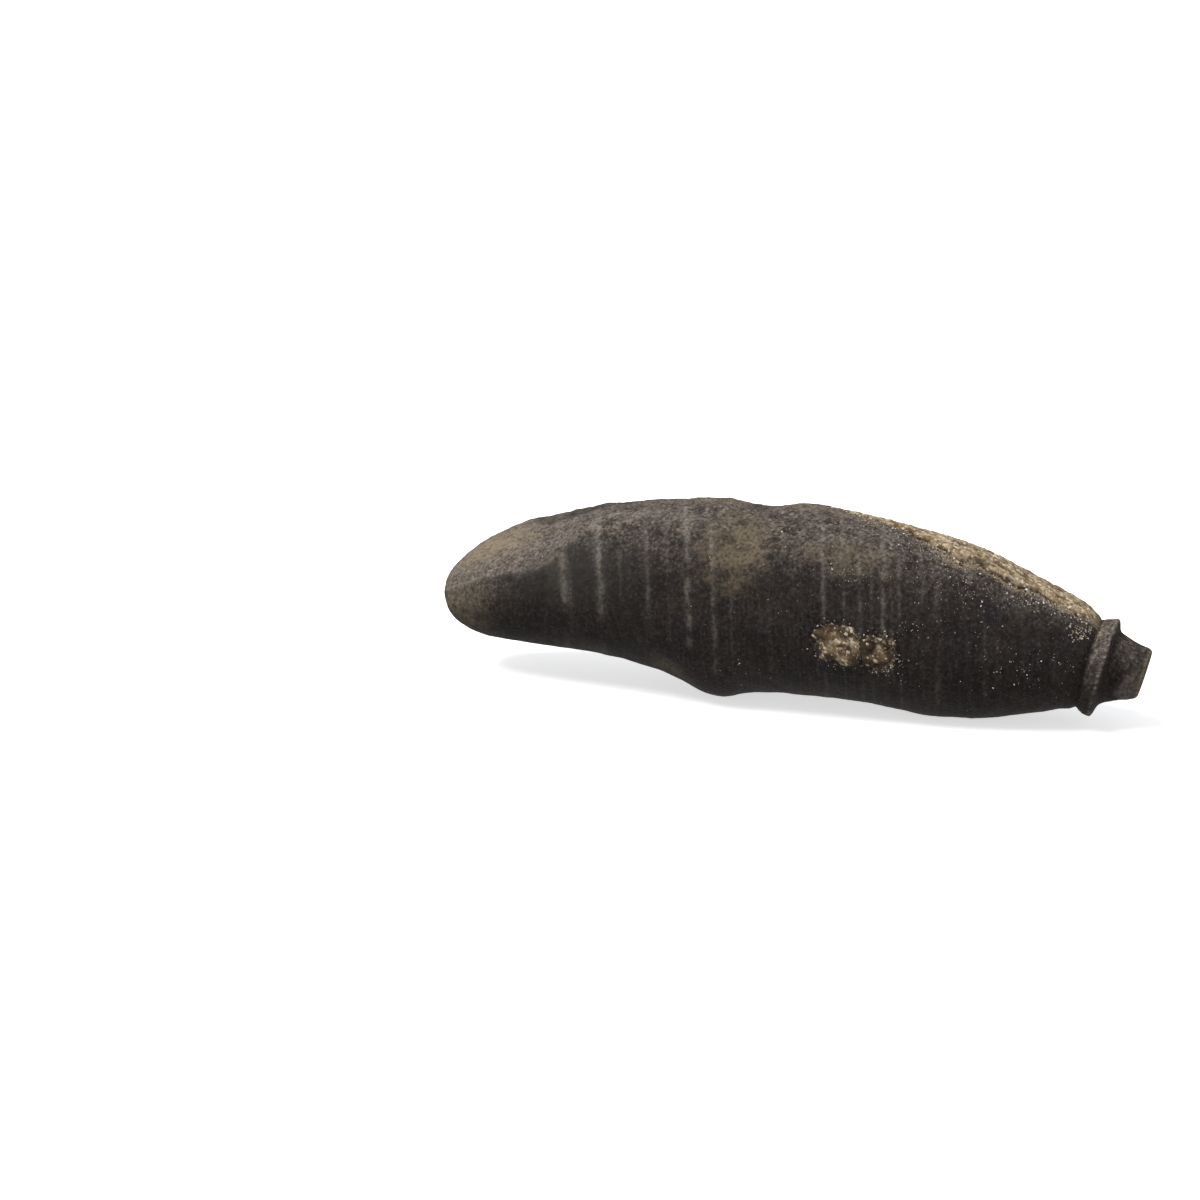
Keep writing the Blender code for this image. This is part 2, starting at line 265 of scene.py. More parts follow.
# Small loose sand grains: place along X, angle, spread along X, spread in degrees, count,
# mean size and tone (0 brown to 1 white).
GRAIN_CLUSTERS = (
    (24.3, 44.0, 0.45, 5.0, 46, 0.17, 0.70),
    (24.6, 35.0, 0.35, 5.0, 40, 0.14, 0.55),
    (6.0, 52.2, 0.75, 3.5, 26, 0.10, 0.95),
    (11.8, 75.0, 0.60, 2.5, 22, 0.09, 1.00),
    (14.0, 36.0, 1.90, 8.0, 90, 0.09, 0.90),
    (9.8, 22.0, 1.20, 8.0, 46, 0.10, 0.85),
    (19.0, 30.0, 2.60, 5.0, 70, 0.10, 0.85),
    (21.0, 88.0, 1.90, 12.0, 60, 0.09, 1.00),
    (17.0, 66.0, 3.50, 16.0, 60, 0.08, 0.95),
    (10.0, 98.0, 0.70, 7.0, 50, 0.12, 0.80),
    (11.0, 104.0, 1.10, 6.0, 26, 0.09, 0.95),
    (-2.2, 116.0, 0.25, 1.6, 4, 0.10, 1.00),
    (-5.0, 126.0, 1.40, 5.0, 14, 0.06, 0.60),
    (3.0, 50.0, 4.00, 18.0, 60, 0.07, 0.95),
    (1.0, 80.0, 5.00, 24.0, 30, 0.07, 0.95),
    (-24.0, 66.0, 2.40, 8.0, 16, 0.08, 0.90),
    (-8.0, 30.0, 6.00, 24.0, 40, 0.07, 0.85),
    (15.0, -70.0, 6.00, 14.0, 130, 0.11, 0.75),
    (-4.4, -108.0, 2.00, 10.0, 70, 0.10, 0.80),
    (8.0, -110.0, 9.00, 30.0, 120, 0.08, 0.90),
    (6.0, 170.0, 12.0, 30.0, 90, 0.08, 0.85),
)
# A cluster's grains have this share of its size as their radius.
GRAIN_RADIUS_SHARE = 0.31
LOOSE_GRAIN_RADIUS = 0.045
GRAIN_SIZE_SPREAD = 0.35
CRUST_EDGE_GRAINS = 1500
FILL_EDGE_GRAINS = 60


def ease(value):
    """0 below 0, 1 above 1, and smooth between."""
    value = np.clip(value, 0.0, 1.0)
    return value * value * (3 - 2 * value)


def mound(distance):
    """A round hump of height 1 that ends at distance 1."""
    return np.where(distance < 1, (1 - distance**2) ** 2, 0.0)


def angle_apart(a, b):
    """The signed angle from b to a, from -180 to 180 degrees."""
    return (a - b + 180.0) % 360.0 - 180.0


def straight_between(rows, column, x):
    """The column's value at x, on straight lines through the rows."""
    return np.interp(x, [row[0] for row in rows], [row[column] for row in rows])


def smooth_between(rows, column, x, bend):
    """The column's value at x, on a smooth curve through the rows."""
    places = np.array([bend(row[0]) for row in rows])
    values = np.array([row[column] for row in rows])
    at = np.clip(bend(x), places[0], places[-1])
    last = len(rows) - 1
    i = np.clip(np.searchsorted(places, at, side="left") - 1, 0, last - 1)
    low = np.maximum(np.arange(last + 1) - 1, 0)
    high = np.minimum(np.arange(last + 1) + 1, last)
    slope = (values[high] - values[low]) / (places[high] - places[low])
    span = places[i + 1] - places[i]
    t = (at - places[i]) / span
    return (
        values[i] * (1 + 2 * t) * (1 - t) ** 2
        + values[i + 1] * t * t * (3 - 2 * t)
        + span * t * (1 - t) * (slope[i] * (1 - t) - slope[i + 1] * t)
    )


def from_tip(x):
    """The root of the distance from the tip, in which a round end is a straight line."""
    return np.sqrt(np.maximum(x - TIP_X, 0.0))


def bumps(places, size, offset=0.0):
    """Smooth noise from -1 to 1, with lumps of this size in millimetres."""
    flat = (np.reshape(places, (-1, 3)) / size + offset).tolist()
    return np.array([noise.noise(p) for p in flat]).reshape(np.shape(places)[:-1])


def rough(places, size, octaves, offset=0.0):
    """Fractal noise, about -1 to 1, from lumps of this size down."""
    flat = (np.reshape(places, (-1, 3)) / size + offset).tolist()
    values = [noise.fractal(p, 0.8, 2.1, octaves) for p in flat]
    return np.array(values).reshape(np.shape(places)[:-1])


def packed_grains(u, v, size, seed):
    """Grains packed side by side on a surface: their height (0 to about 1), and their tone."""
    rng = np.random.default_rng(seed)
    iu, iv = np.floor(u / size).astype(int), np.floor(v / size).astype(int)
    iu0, iv0 = iu.min() - 1, iv.min() - 1
    table = rng.random((iu.max() - iu0 + 3, iv.max() - iv0 + 3, 4))
    best, tone = np.zeros(u.shape), np.zeros(u.shape)
    for du in (-1, 0, 1):
        for dv in (-1, 0, 1):
            cell = table[iu + du - iu0, iv + dv - iv0]
            middle_u = (iu + du + 0.5 + 0.85 * (cell[..., 0] - 0.5)) * size
            middle_v = (iv + dv + 0.5 + 0.85 * (cell[..., 1] - 0.5)) * size
            radius = 0.50 + 0.42 * cell[..., 2]
            away = ((u - middle_u) ** 2 + (v - middle_v) ** 2) / (size * radius) ** 2
            height = np.sqrt(np.maximum(1 - away, 0.0)) * radius
            better = height > best
            best = np.where(better, height, best)
            tone = np.where(better, cell[..., 3], tone)
    return best, tone


def on_section(middle_x, middle_z, lean, up, across, angle):
    """Points of a leaning section, at an angle from the top towards the front."""
    tilt, turn = np.radians(lean), np.radians(angle)
    rise = up * np.cos(turn)
    return np.stack(
        [middle_x + rise * np.sin(tilt), -across * np.sin(turn), middle_z + rise * np.cos(tilt)],
        axis=-1,
    )


def worn_by_plane(x, angle):
    """The share of the radius that the worn plane on the tip leaves, and how far it is on it."""
    facing = straight_between(TIP_PLANE, 1, x)
    half_span = straight_between(TIP_PLANE, 2, x)
    wear = np.where(x < TIP_PLANE[-1][0], straight_between(TIP_PLANE, 3, x), 0.0)
    towards = np.cos(np.radians(angle_apart(angle, facing)))
    depth = 1 - np.cos(np.radians(half_span)) / np.maximum(towards, 1e-6)
    depth = np.where(towards > 0, np.maximum(depth, -1.0), -1.0)
    reach = np.clip(depth + PLANE_SOFTNESS, 0.0, 2 * PLANE_SOFTNESS)
    rounded = reach**2 / (4 * PLANE_SOFTNESS) + np.maximum(depth - PLANE_SOFTNESS, 0.0)
    return 1 - wear * rounded, depth


def crust_reach(x, angle, places):
    """How far inside the crust's edge this place is, in degrees. It is negative outside."""
    wander = CRUST_EDGE_WANDER * bumps(places, CRUST_EDGE_BEND_SIZE)
    front = straight_between(CRUST_EDGES, 1, x) + wander
    rear = straight_between(CRUST_EDGES, 2, x) - wander
    turn = angle_apart(angle, 0.0)
    inside = np.minimum(front - turn, turn - rear)
    along = np.minimum(x - CRUST_EDGES[0][0], CRUST_EDGES[-1][0] - x)
    return np.where(along > 0, inside, -30.0)


def matrix_reach(row, x, angle, radius, places):
    """How far inside a matrix pit's edge this place is, where 1 is its half size."""
    arc = np.radians(radius)
    along = (x - row[0]) / row[2]
    around = angle_apart(angle, row[1]) * arc / row[3]
    wander = MATRIX_EDGE_WANDER * bumps(places, MATRIX_EDGE_BEND_SIZE)
    return MATRIX_EDGE - np.hypot(along, around) - wander


def section(x):
    """Height of the axis, lean, half height and half width of the shaft at x."""
    return [smooth_between(SHAFT_SECTIONS, column, x, from_tip) for column in (1, 2, 3, 4)]


def band_places(points):
    """Where each point lies across the fan of growth planes."""
    spread, turn, rise, level = BAND_FAN
    x, y, z = points[..., 0], points[..., 1], points[..., 2]
    return x + y * (spread + turn * x) + rise * (z - level)


def band_strength(points, angle):
    """How strongly the pale growth bands show, from 0 to 1."""
    place = band_places(points) + 0.10 * bumps(points, 1.6, 31.0)
    patchy = 0.75 + 1.1 * bumps(points, 1.3, 7.0)
    total = np.zeros(place.shape)
    for at, half_width, strength, low, high in BANDS:
        middle, half = (low + high) / 2, (high - low) / 2
        turn = np.abs(angle_apart(angle, middle))
        shown = 1 - ease((turn - half) / 12.0)
        hidden = 0.55 * ease((turn - half - 20.0) / 30.0)
        across = np.exp(-np.abs((place - at) / half_width) ** 1.5)
        total = np.maximum(total, across * strength * np.maximum(shown, hidden))
    return np.clip(total * np.clip(patchy, 0.15, 1.3), 0.0, 1.0)


def low_relief(x, angle, radius, places):
    """The lumps, swellings and pits that the solid has too, in millimetres."""
    height = np.zeros(x.shape)
    for at_x, at_angle, reach, reach_around, rise in SWELLINGS:
        along = (x - at_x) / reach
        around = angle_apart(angle, at_angle) / reach_around
        height += rise * np.exp(-(along**2) - around**2)
    arc = np.radians(radius)
    for at_x, at_angle, half_length, half_width, depth in PITS:
        along = (x - at_x) / half_length
        around = angle_apart(angle, at_angle) * arc / half_width
        height -= depth * mound(np.hypot(along, around) / PIT_RIM)
    height += LUMP_HEIGHT * bumps(places, LUMP_SIZE)
    height += WRINKLE_HEIGHT * bumps(places, WRINKLE_SIZE)
    return height


def upper_share(x, angle, places):
    """How far the place is in the weathered zone of the back, which is also painted lighter as if lit
    from above, from 0 to 1.
    """
    edge = straight_between(UPPER_FRONT, 1, x)
    rear = straight_between(UPPER_REAR, 1, x)
    wander = 9.0 * bumps(places, 3.2, 11.0) + 5.0 * bumps(places, 0.9, 12.0)
    turn = angle_apart(angle, 0.0)
    inside = np.minimum(edge + wander - turn, turn - rear + 1.4 * wander)
    return np.clip(inside / UPPER_EDGE_SLOPE, 0.0, 1.0) ** 1.15


def shaft_surface(x, angle, sizes, fine=True):
    """Points of the shaft's skin, with the masks that its colours need."""
    height, lean, half_height, half_width = section(x)
    smooth = on_section(x, height, lean, half_height, half_width, angle)
    low = low_relief(x, angle, half_height, smooth)
    upper = upper_share(x, angle, smooth)
    kept, _ = worn_by_plane(x, angle)
    arc = np.radians(angle) * 7.0
    band = band_strength(smooth, angle)
    raised = low.copy()
    masks = {"upper": upper, "band": band}
    # The bare skin lies lower where matrix covers it.
    crust = ease(crust_reach(x, angle, smooth) / CRUST_EDGE_SLOPE)
    raised -= CRUST_CLEARANCE * crust
    for row in MATRIX_PITS:
        inside = matrix_reach(row, x, angle, half_height, smooth)
        sunk = ease(inside / MATRIX_EDGE_SLOPE)
        raised -= sunk * (row[4] * 0.6 + 0.12)
    if fine:
        grit = rough(smooth, 0.55, 4, 3.0)
        # Small pores, mostly in the weathered zone.
        pores, chance = packed_grains(x * 0.62, arc, sizes.pore_spacing, 5)
        where = ease(upper * 3.0) * ease((x + 25.0) / 8.0) * ease((22.0 - x) / 8.0)
        pore = ease((pores - 0.60) / 0.22) * (chance > 0.84) * where
        raised += sizes.skin_grit * grit * (0.55 + 0.45 * upper)
        raised -= sizes.pore_depth * pore
        raised += sizes.band_height * band
        raised += 0.10 * ease(upper * 2.0) * rough(smooth * np.array([0.7, 1.0, 1.0]), 1.3, 4, 8.0)
        # The pores are darkened in colour too, as painted shade.
        masks["pore"] = pore
    fade = ease(half_height / TIP_FADE_RADIUS) * ease((SHAFT_END_X - x) / COLLAR_FADE_LENGTH)
    scale = kept * (1 + fade * raised / np.maximum(half_height, 1.0))
    points = on_section(x, height, lean, half_height * scale, half_width * scale, angle)
    points[..., 2] = np.maximum(points[..., 2], 0.0)
    # Sunk places of the relief are darkened in colour, as painted shade in the hollows.
    masks["deep"] = ease(-(low - CRUST_CLEARANCE * crust) / 0.22 - 0.25)
    return points, masks


def skin_at(x, angle, sizes):
    """Points on the shaft's skin and its outward normals at scattered places."""
    x, angle = np.asarray(x, float), np.asarray(angle, float)
    point, _ = shaft_surface(x, angle, sizes, fine=False)
    ahead, _ = shaft_surface(x + 0.2, angle, sizes, fine=False)
    aside, _ = shaft_surface(x, angle + 2.0, sizes, fine=False)
    normal = np.cross(aside - point, ahead - point)
    return point, normal / np.maximum(np.linalg.norm(normal, axis=-1, keepdims=True), 1e-9)


def ring_faces(rings, around):
    """Quads between closed rings of points, facing outward."""
    i, j = np.meshgrid(np.arange(rings - 1), np.arange(around), indexing="ij")
    k = (j + 1) % around
    quads = [i * around + j, i * around + k, (i + 1) * around + k, (i + 1) * around + j]
    return np.stack(quads, axis=-1).reshape(-1, 4)


def add_piece(name, points, quads, triangles=(), masks=None, smooth=True):
    """A mesh object from points in millimetres, that rides on the spine's body."""
    data = bpy.data.meshes.new(name)
    faces = [*np.asarray(quads).tolist(), *np.asarray(triangles).tolist()]
    data.from_pydata((np.asarray(points) * MM).tolist(), [], faces)
    for key, values in (masks or {}).items():
        attribute = data.attributes.new(key, "FLOAT", "POINT")
        attribute.data.foreach_set("value", np.asarray(values, np.float32).ravel())
    data.polygons.foreach_set("use_smooth", [smooth] * len(data.polygons))
    data.update()
    piece = bpy.data.objects.new(name, data)
    bpy.context.scene.collection.objects.link(piece)
    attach(piece, BODY_NAME)
    return piece


def lifted(x, angle, raised):
    """Points of the shaft's section at x, raised by this many millimetres."""
    height, lean, half_height, half_width = section(x)
    scale = 1 + raised / half_height
    return on_section(x, height, lean, half_height * scale, half_width * scale, angle)


def closed_tube(rings, masks, first, last):
    """A tube of rings with a fan at each end: points, quads, triangles, and the points' masks."""
    count, around = rings.shape[:2]
    points = np.concatenate([rings.reshape(-1, 3), [first, last]])
    masks = {key: np.append(values, [values[0], values[-1]]) for key, values in masks.items()}
    i = np.arange(around)
    j = (i + 1) % around
    end = (count - 1) * around
    first_fan = np.stack([np.full(around, count * around), j, i], axis=-1)
    last_fan = np.stack([end + i, end + j, np.full(around, count * around + 1)], axis=-1)
    return points, ring_faces(count, around), np.concatenate([first_fan, last_fan]), masks


def sheet_body(points, kept, below):
    """A closed thin body: the kept faces of a grid of points, and the same faces below them."""
    rows, columns = points.shape[:2]
    i, j = np.meshgrid(np.arange(rows - 1), np.arange(columns - 1), indexing="ij")
    corner = i * columns + j
    quads = np.stack([corner, corner + 1, corner + columns + 1, corner + columns], axis=-1)
    quads = quads[kept]
    used, packed = np.unique(quads, return_inverse=True)
    quads = packed.reshape(-1, 4)
    count = len(used)
    edges = np.concatenate([quads[:, [a, (a + 1) % 4]] for a in range(4)])
    keys = np.sort(edges, axis=1)
    _, first, times = np.unique(keys, axis=0, return_index=True, return_counts=True)
    border = edges[first[times == 1]]
    walls = np.stack([border[:, 1], border[:, 0], border[:, 0] + count, border[:, 1] + count], axis=-1)
    under = quads[:, ::-1] + count
    top = points.reshape(-1, 3)[used]
    bottom = below.reshape(-1, 3)[used]
    return np.concatenate([top, bottom]), np.concatenate([quads, under, walls]), used


# --------------------------------------------------------------------------------------------
# Materials
# --------------------------------------------------------------------------------------------


def new_material(name):
    """A material with its node tree and its Principled shader."""
    material = bpy.data.materials.new(name)
    material.use_nodes = True
    return material, material.node_tree, material.node_tree.nodes["Principled BSDF"]


def wire(tree, kind, inputs=None, **settings):
    """Adds a node. Each input is a value, or a socket that is linked to it."""
    made = tree.nodes.new(kind)
    for key, value in settings.items():
        setattr(made, key, value)
    for key, value in (inputs or {}).items():
        plug(tree, made.inputs[key], value)
    return made


def plug(tree, socket, value):
    """Sets a socket to a value, or links another socket to it."""
    if isinstance(value, bpy.types.NodeSocket):
        tree.links.new(value, socket)
    elif socket.type == "RGBA":
        socket.default_value = (*value[:3], 1.0)
    else:
        socket.default_value = value


def millimetres(tree):
    """The place on the object in millimetres."""
    place = wire(tree, "ShaderNodeTexCoord").outputs["Object"]
    mapping = wire(tree, "ShaderNodeMapping", {"Vector": place, "Scale": (1 / MM, 1 / MM, 1 / MM)})
    return mapping.outputs["Vector"]


def cloud(tree, per_mm, detail=4.0, roughness=0.55, offset=0.0):
    """Noise from 0 to 1, with this many lumps in a millimetre."""
    place = millimetres(tree)
    inputs = {"Vector": place, "Scale": per_mm, "Detail": detail, "Roughness": roughness, "W": offset}
    return wire(tree, "ShaderNodeTexNoise", inputs, noise_dimensions="4D").outputs["Fac"]


def mesh_masks(tree, names):
    """Masks stored in the mesh, from their names with spaces between."""
    made = [wire(tree, "ShaderNodeAttribute", attribute_name=name) for name in names.split()]
    return [node.outputs["Fac"] for node in made]


def calc(tree, operation, first, second=0.0, third=0.0):
    """A sum, product or other operation on numbers."""
    made = wire(tree, "ShaderNodeMath", {0: first, 1: second, 2: third}, operation=operation)
    return made.outputs[0]


def between(tree, value, low, high, to_low=0.0, to_high=1.0):
    """The value's place between two limits, smooth and held at its ends."""
    inputs = {"Value": value, "From Min": low, "From Max": high, "To Min": to_low, "To Max": to_high}
    return wire(tree, "ShaderNodeMapRange", inputs, interpolation_type="SMOOTHSTEP").outputs[0]


def mixed(tree, factor, first, second):
    """One colour over another."""
    made = wire(tree, "ShaderNodeMix", data_type="RGBA", clamp_factor=True)
    plug(tree, made.inputs[0], factor)
    plug(tree, made.inputs[6], first)
    plug(tree, made.inputs[7], second)
    return made.outputs[2]


def layered(tree, colour, layers):
    """Colours laid over another where a value lies between two limits, up to a share."""
    for value, low, high, share, over in layers:
        colour = mixed(tree, between(tree, value, low, high, 0.0, share), colour, over)
    return colour


def blended(tree, factor, first, second):
    """One number over another."""
    made = wire(tree, "ShaderNodeMix", data_type="FLOAT")
    plug(tree, made.inputs[0], factor)
    plug(tree, made.inputs[2], first)
    plug(tree, made.inputs[3], second)
    return made.outputs[0]


def bumped(tree, height, distance, under=None):
    """A bump from a height, which adds up to this many millimetres."""
    inputs = {"Height": height, "Distance": distance * MM, "Strength": 1.0}
    if under is not None:
        inputs["Normal"] = under
    return wire(tree, "ShaderNodeBump", inputs).outputs["Normal"]


def across_bands(tree):
    """The place across the fan of growth planes, in millimetres."""
    spread, turn, rise, _ = BAND_FAN
    split = wire(tree, "ShaderNodeSeparateXYZ", {0: millimetres(tree)}).outputs
    fan = calc(tree, "MULTIPLY_ADD", split[0], turn, spread)
    across = calc(tree, "MULTIPLY_ADD", split[1], fan, split[0])
    return calc(tree, "MULTIPLY_ADD", split[2], rise, across), split


def band_stripes(tree, per_mm, detail=2.0):
    """Fine uneven stripes that run around the shaft, as the growth bands do."""
    across, split = across_bands(tree)
    lengthwise = [calc(tree, "MULTIPLY", split[axis], 0.12) for axis in (1, 2)]
    squeezed = wire(tree, "ShaderNodeCombineXYZ", {0: across, 1: lengthwise[0], 2: lengthwise[1]})
    inputs = {"Vector": squeezed.outputs[0], "Scale": per_mm, "Detail": detail, "Roughness": 0.6}
    return wire(tree, "ShaderNodeTexNoise", inputs).outputs["Fac"]


def fine_ribs(tree, spacing, blur):
    """Fine ribs around the shaft at this spacing in millimetres, from -1 to 1, that waver with blur."""
    across, _ = across_bands(tree)
    waver = calc(tree, "MULTIPLY", blur, 9.0)
    phase = calc(tree, "MULTIPLY_ADD", across, 2 * math.pi / spacing, waver)
    return calc(tree, "SINE", phase)


def hatching(tree, spacing, blur):
    """Fine slanting scratches on the front, from -1 to 1."""
    split = wire(tree, "ShaderNodeSeparateXYZ", {0: millimetres(tree)}).outputs
    slant = calc(tree, "MULTIPLY_ADD", split[2], -0.55, calc(tree, "MULTIPLY", split[0], 0.85))
    phase = calc(tree, "MULTIPLY_ADD", slant, 2 * math.pi / spacing, calc(tree, "MULTIPLY", blur, 8.0))
    return calc(tree, "SINE", phase)


def specks(tree, per_mm, radius, share):
    """Small round specks: 1 on a speck and 0 off it. A share of the cells has one."""
    place = millimetres(tree)
    inputs = {"Vector": place, "Scale": per_mm, "Randomness": 1.0}
    cells = wire(tree, "ShaderNodeTexVoronoi", inputs, feature="F1")
    near = between(tree, cells.outputs["Distance"], radius, radius * 0.55)
    chance = wire(tree, "ShaderNodeSeparateColor", {0: cells.outputs["Color"]}).outputs[0]
    return calc(tree, "MULTIPLY", near, calc(tree, "LESS_THAN", chance, share))


def fossil_skin(colours):
    """Dark calcite, weathered lighter above and painted lighter there as if lit from above, with growth
    bands, stains, pores and specks. Hollows, pores and grooves carry painted shade, the ridges and the
    collar's crest carry painted highlights, and the specks are partly painted glints.
    """
    material, tree, shader = new_material("fossil_skin")
    upper, band, light, tan, olive, pore = mesh_masks(tree, "upper band light tan olive pore")
    sand, speckled, deep, dim = mesh_masks(tree, "sand speckled deep dim")
    hatched, ribbed = mesh_masks(tree, "hatched ribbed")

    broad = cloud(tree, 0.26, 5.0)
    tint = cloud(tree, 0.5, 4.0, 0.6, offset=19.0)
    patchy = cloud(tree, 0.9, 7.0, 0.66, offset=3.0)
    grit = cloud(tree, 3.4, 6.0, 0.72, offset=7.0)
    fine = cloud(tree, 9.0, 4.0, 0.75, offset=11.0)
    stripes = band_stripes(tree, 2.2, 3.0)
    ribs = fine_ribs(tree, 0.39, patchy)

    dark = mixed(tree, between(tree, broad, 0.38, 0.64), colours.dark_calcite, colours.brown_calcite)
    layers = (
        (tint, 0.50, 0.68, 0.85, colours.blue_calcite),
        (tint, 0.46, 0.30, 0.85, colours.olive_calcite),
        (stripes, 0.46, 0.72, 0.26, colours.pale_calcite),
    )
    dark = layered(tree, dark, layers)
    rib_share = calc(tree, "MULTIPLY", ribbed, between(tree, tint, 0.35, 0.6))
    rib_tone = calc(tree, "MULTIPLY", between(tree, ribs, 0.1, 1.0, 0.0, 0.20), rib_share)
    dark = mixed(tree, rib_tone, dark, colours.pale_calcite)
    layers = (
        (grit, 0.50, 0.64, 0.60, colours.pale_calcite),
        (fine, 0.54, 0.66, 0.40, colours.pale_calcite),
        (grit, 0.48, 0.38, 0.70, colours.black_calcite),
    )
    dark = layered(tree, dark, layers)

    worn = mixed(tree, between(tree, patchy, 0.40, 0.60), colours.worn_and_lit_dark, colours.worn_and_lit_calcite)
    layers = (
        (tint, 0.48, 0.66, 0.8, colours.worn_and_lit_purple),
        (grit, 0.50, 0.63, 0.90, colours.pale_wear_and_highlight),
        (grit, 0.49, 0.38, 0.85, colours.brown_calcite),
        (fine, 0.46, 0.34, 0.60, colours.brown_calcite),
    )
    worn = layered(tree, worn, layers)

    # The upper mask mixes the dark calcite into the worn colours: real weathering, with the top also
    # painted lighter as if lit from above.
    edge = calc(tree, "ADD", upper, calc(tree, "MULTIPLY_ADD", patchy, 0.34, -0.17))
    edge = calc(tree, "ADD", edge, calc(tree, "MULTIPLY_ADD", grit, 0.20, -0.10))
    skin = mixed(tree, between(tree, edge, 0.02, 0.98), dark, worn)
    # The light mask lays a painted highlight on the tip plane's ridge and the collar's crest, and pales
    # the worn plane and patch.
    lit = calc(tree, "MULTIPLY", light, between(tree, grit, 0.30, 0.66, 0.35, 1.0))
    skin = mixed(tree, lit, skin, colours.pale_wear_and_highlight)

    stained = calc(tree, "MULTIPLY", olive, between(tree, grit, 0.38, 0.60, 0.30, 1.0))
    stained = calc(tree, "MULTIPLY", stained, between(tree, patchy, 0.30, 0.60, 0.40, 0.95))
    skin = mixed(tree, stained, skin, colours.olive_stain)
    tanned = calc(tree, "MULTIPLY", tan, between(tree, grit, 0.38, 0.58, 0.35, 1.0))
    skin = mixed(tree, tanned, skin, colours.tan_stain)
    # Darker along the tip plane's rear edge, and painted shade below the plane's ridge.
    skin = mixed(tree, calc(tree, "MULTIPLY", dim, 0.75), skin, colours.edge_strip_and_ridge_shade_calcite)

    band_edge = calc(tree, "MULTIPLY", band, between(tree, grit, 0.38, 0.60, 0.35, 1.0))
    band_share = calc(tree, "MULTIPLY", band_edge, between(tree, upper, 0.0, 0.5, 0.52, 1.0))
    skin = mixed(tree, band_share, skin, colours.growth_band)

    dusty = calc(tree, "ADD", sand, calc(tree, "MULTIPLY_ADD", fine, 1.6, -0.8))
    skin = mixed(tree, between(tree, dusty, 0.42, 0.80, 0.0, 0.9), skin, colours.sand)
    # Pores, sunk places, the collar's grooves and the gaps between its teeth are darkened to dark
    # calcite, as painted shade.
    painted_hollow_shade = calc(tree, "MULTIPLY", calc(tree, "MAXIMUM", pore, deep), 0.55)
    skin = mixed(tree, painted_hollow_shade, skin, colours.dark_calcite)

    if_hatched = calc(tree, "MULTIPLY", hatching(tree, 0.34, patchy), hatched)
    skin = mixed(tree, between(tree, if_hatched, 0.1, 1.0, 0.0, 0.35), skin, colours.pale_calcite)

    # The specks are partly pale grains and partly painted glints of calcite.
    small = specks(tree, 3.1, 0.13, 0.10)
    large = specks(tree, 1.3, 0.075, 0.14)
    bright = calc(tree, "MULTIPLY", calc(tree, "MAXIMUM", small, large), speckled)
    skin = mixed(tree, bright, skin, colours.painted_glint_and_white_quartz)
    tree.links.new(skin, shader.inputs["Base Color"])

    bare = between(tree, grit, 0.3, 0.7, 0.52, 0.70)
    gloss = blended(tree, between(tree, edge, 0.05, 0.8), bare, 0.85)
    gloss = blended(tree, calc(tree, "MAXIMUM", sand, tan), gloss, 0.95)
    gloss = blended(tree, bright, gloss, 0.30)
    tree.links.new(gloss, shader.inputs["Roughness"])
    shader.inputs["Specular IOR Level"].default_value = 0.08

    rib_height = calc(tree, "MULTIPLY", ribs, ribbed)
    relief = ((rib_height, 0.008), (if_hatched, 0.014), (patchy, 0.30), (grit, 0.16), (fine, 0.045))
    normal = bumped(tree, stripes, 0.020)
    for height, distance in relief:
        normal = bumped(tree, height, distance, normal)
    tree.links.new(normal, shader.inputs["Normal"])
    return material


def sandy_matrix(colours):
    """Cemented sand: each grain has its own tone, and the crevices, cracks and holes are darkened as
    painted shade.
    """
    material, tree, shader = new_material("sandy_matrix")
    tone, crevice, brown = mesh_masks(tree, "tone crevice brown")
    fine = cloud(tree, 7.0, 4.0, 0.7, offset=2.0)
    patchy = cloud(tree, 0.8, 5.0, 0.62, offset=5.0)
    body = mixed(tree, between(tree, patchy, 0.38, 0.56), colours.sand_brown, colours.sand)
    body = mixed(tree, between(tree, tone, 0.60, 0.95, 0.0, 0.85), body, colours.sand_light)
    body = mixed(tree, between(tree, tone, 0.40, 0.05, 0.0, 0.85), body, colours.sand_brown)
    body = mixed(tree, between(tree, fine, 0.46, 0.26, 0.0, 0.60), body, colours.sand_brown)
    rim = calc(tree, "ADD", brown, calc(tree, "MULTIPLY_ADD", fine, 1.0, -0.5))
    spared = between(tree, tone, 0.82, 0.97, 1.0, 0.15)
    rim = calc(tree, "MULTIPLY", between(tree, rim, 0.10, 0.85), spared)
    body = mixed(tree, calc(tree, "MULTIPLY", rim, 0.94), body, colours.dark_sand_and_crevice_shade)
    # Crevices between the grains are darkened as painted shade.
    body = mixed(tree, calc(tree, "MULTIPLY", crevice, 0.80), body, colours.dark_sand_and_crevice_shade)
    tree.links.new(body, shader.inputs["Base Color"])
    tree.links.new(between(tree, tone, 0.7, 1.0, 0.95, 0.7), shader.inputs["Roughness"])
    shader.inputs["Specular IOR Level"].default_value = 0.1
    normal = bumped(tree, fine, 0.045)
    tree.links.new(normal, shader.inputs["Normal"])
    return material


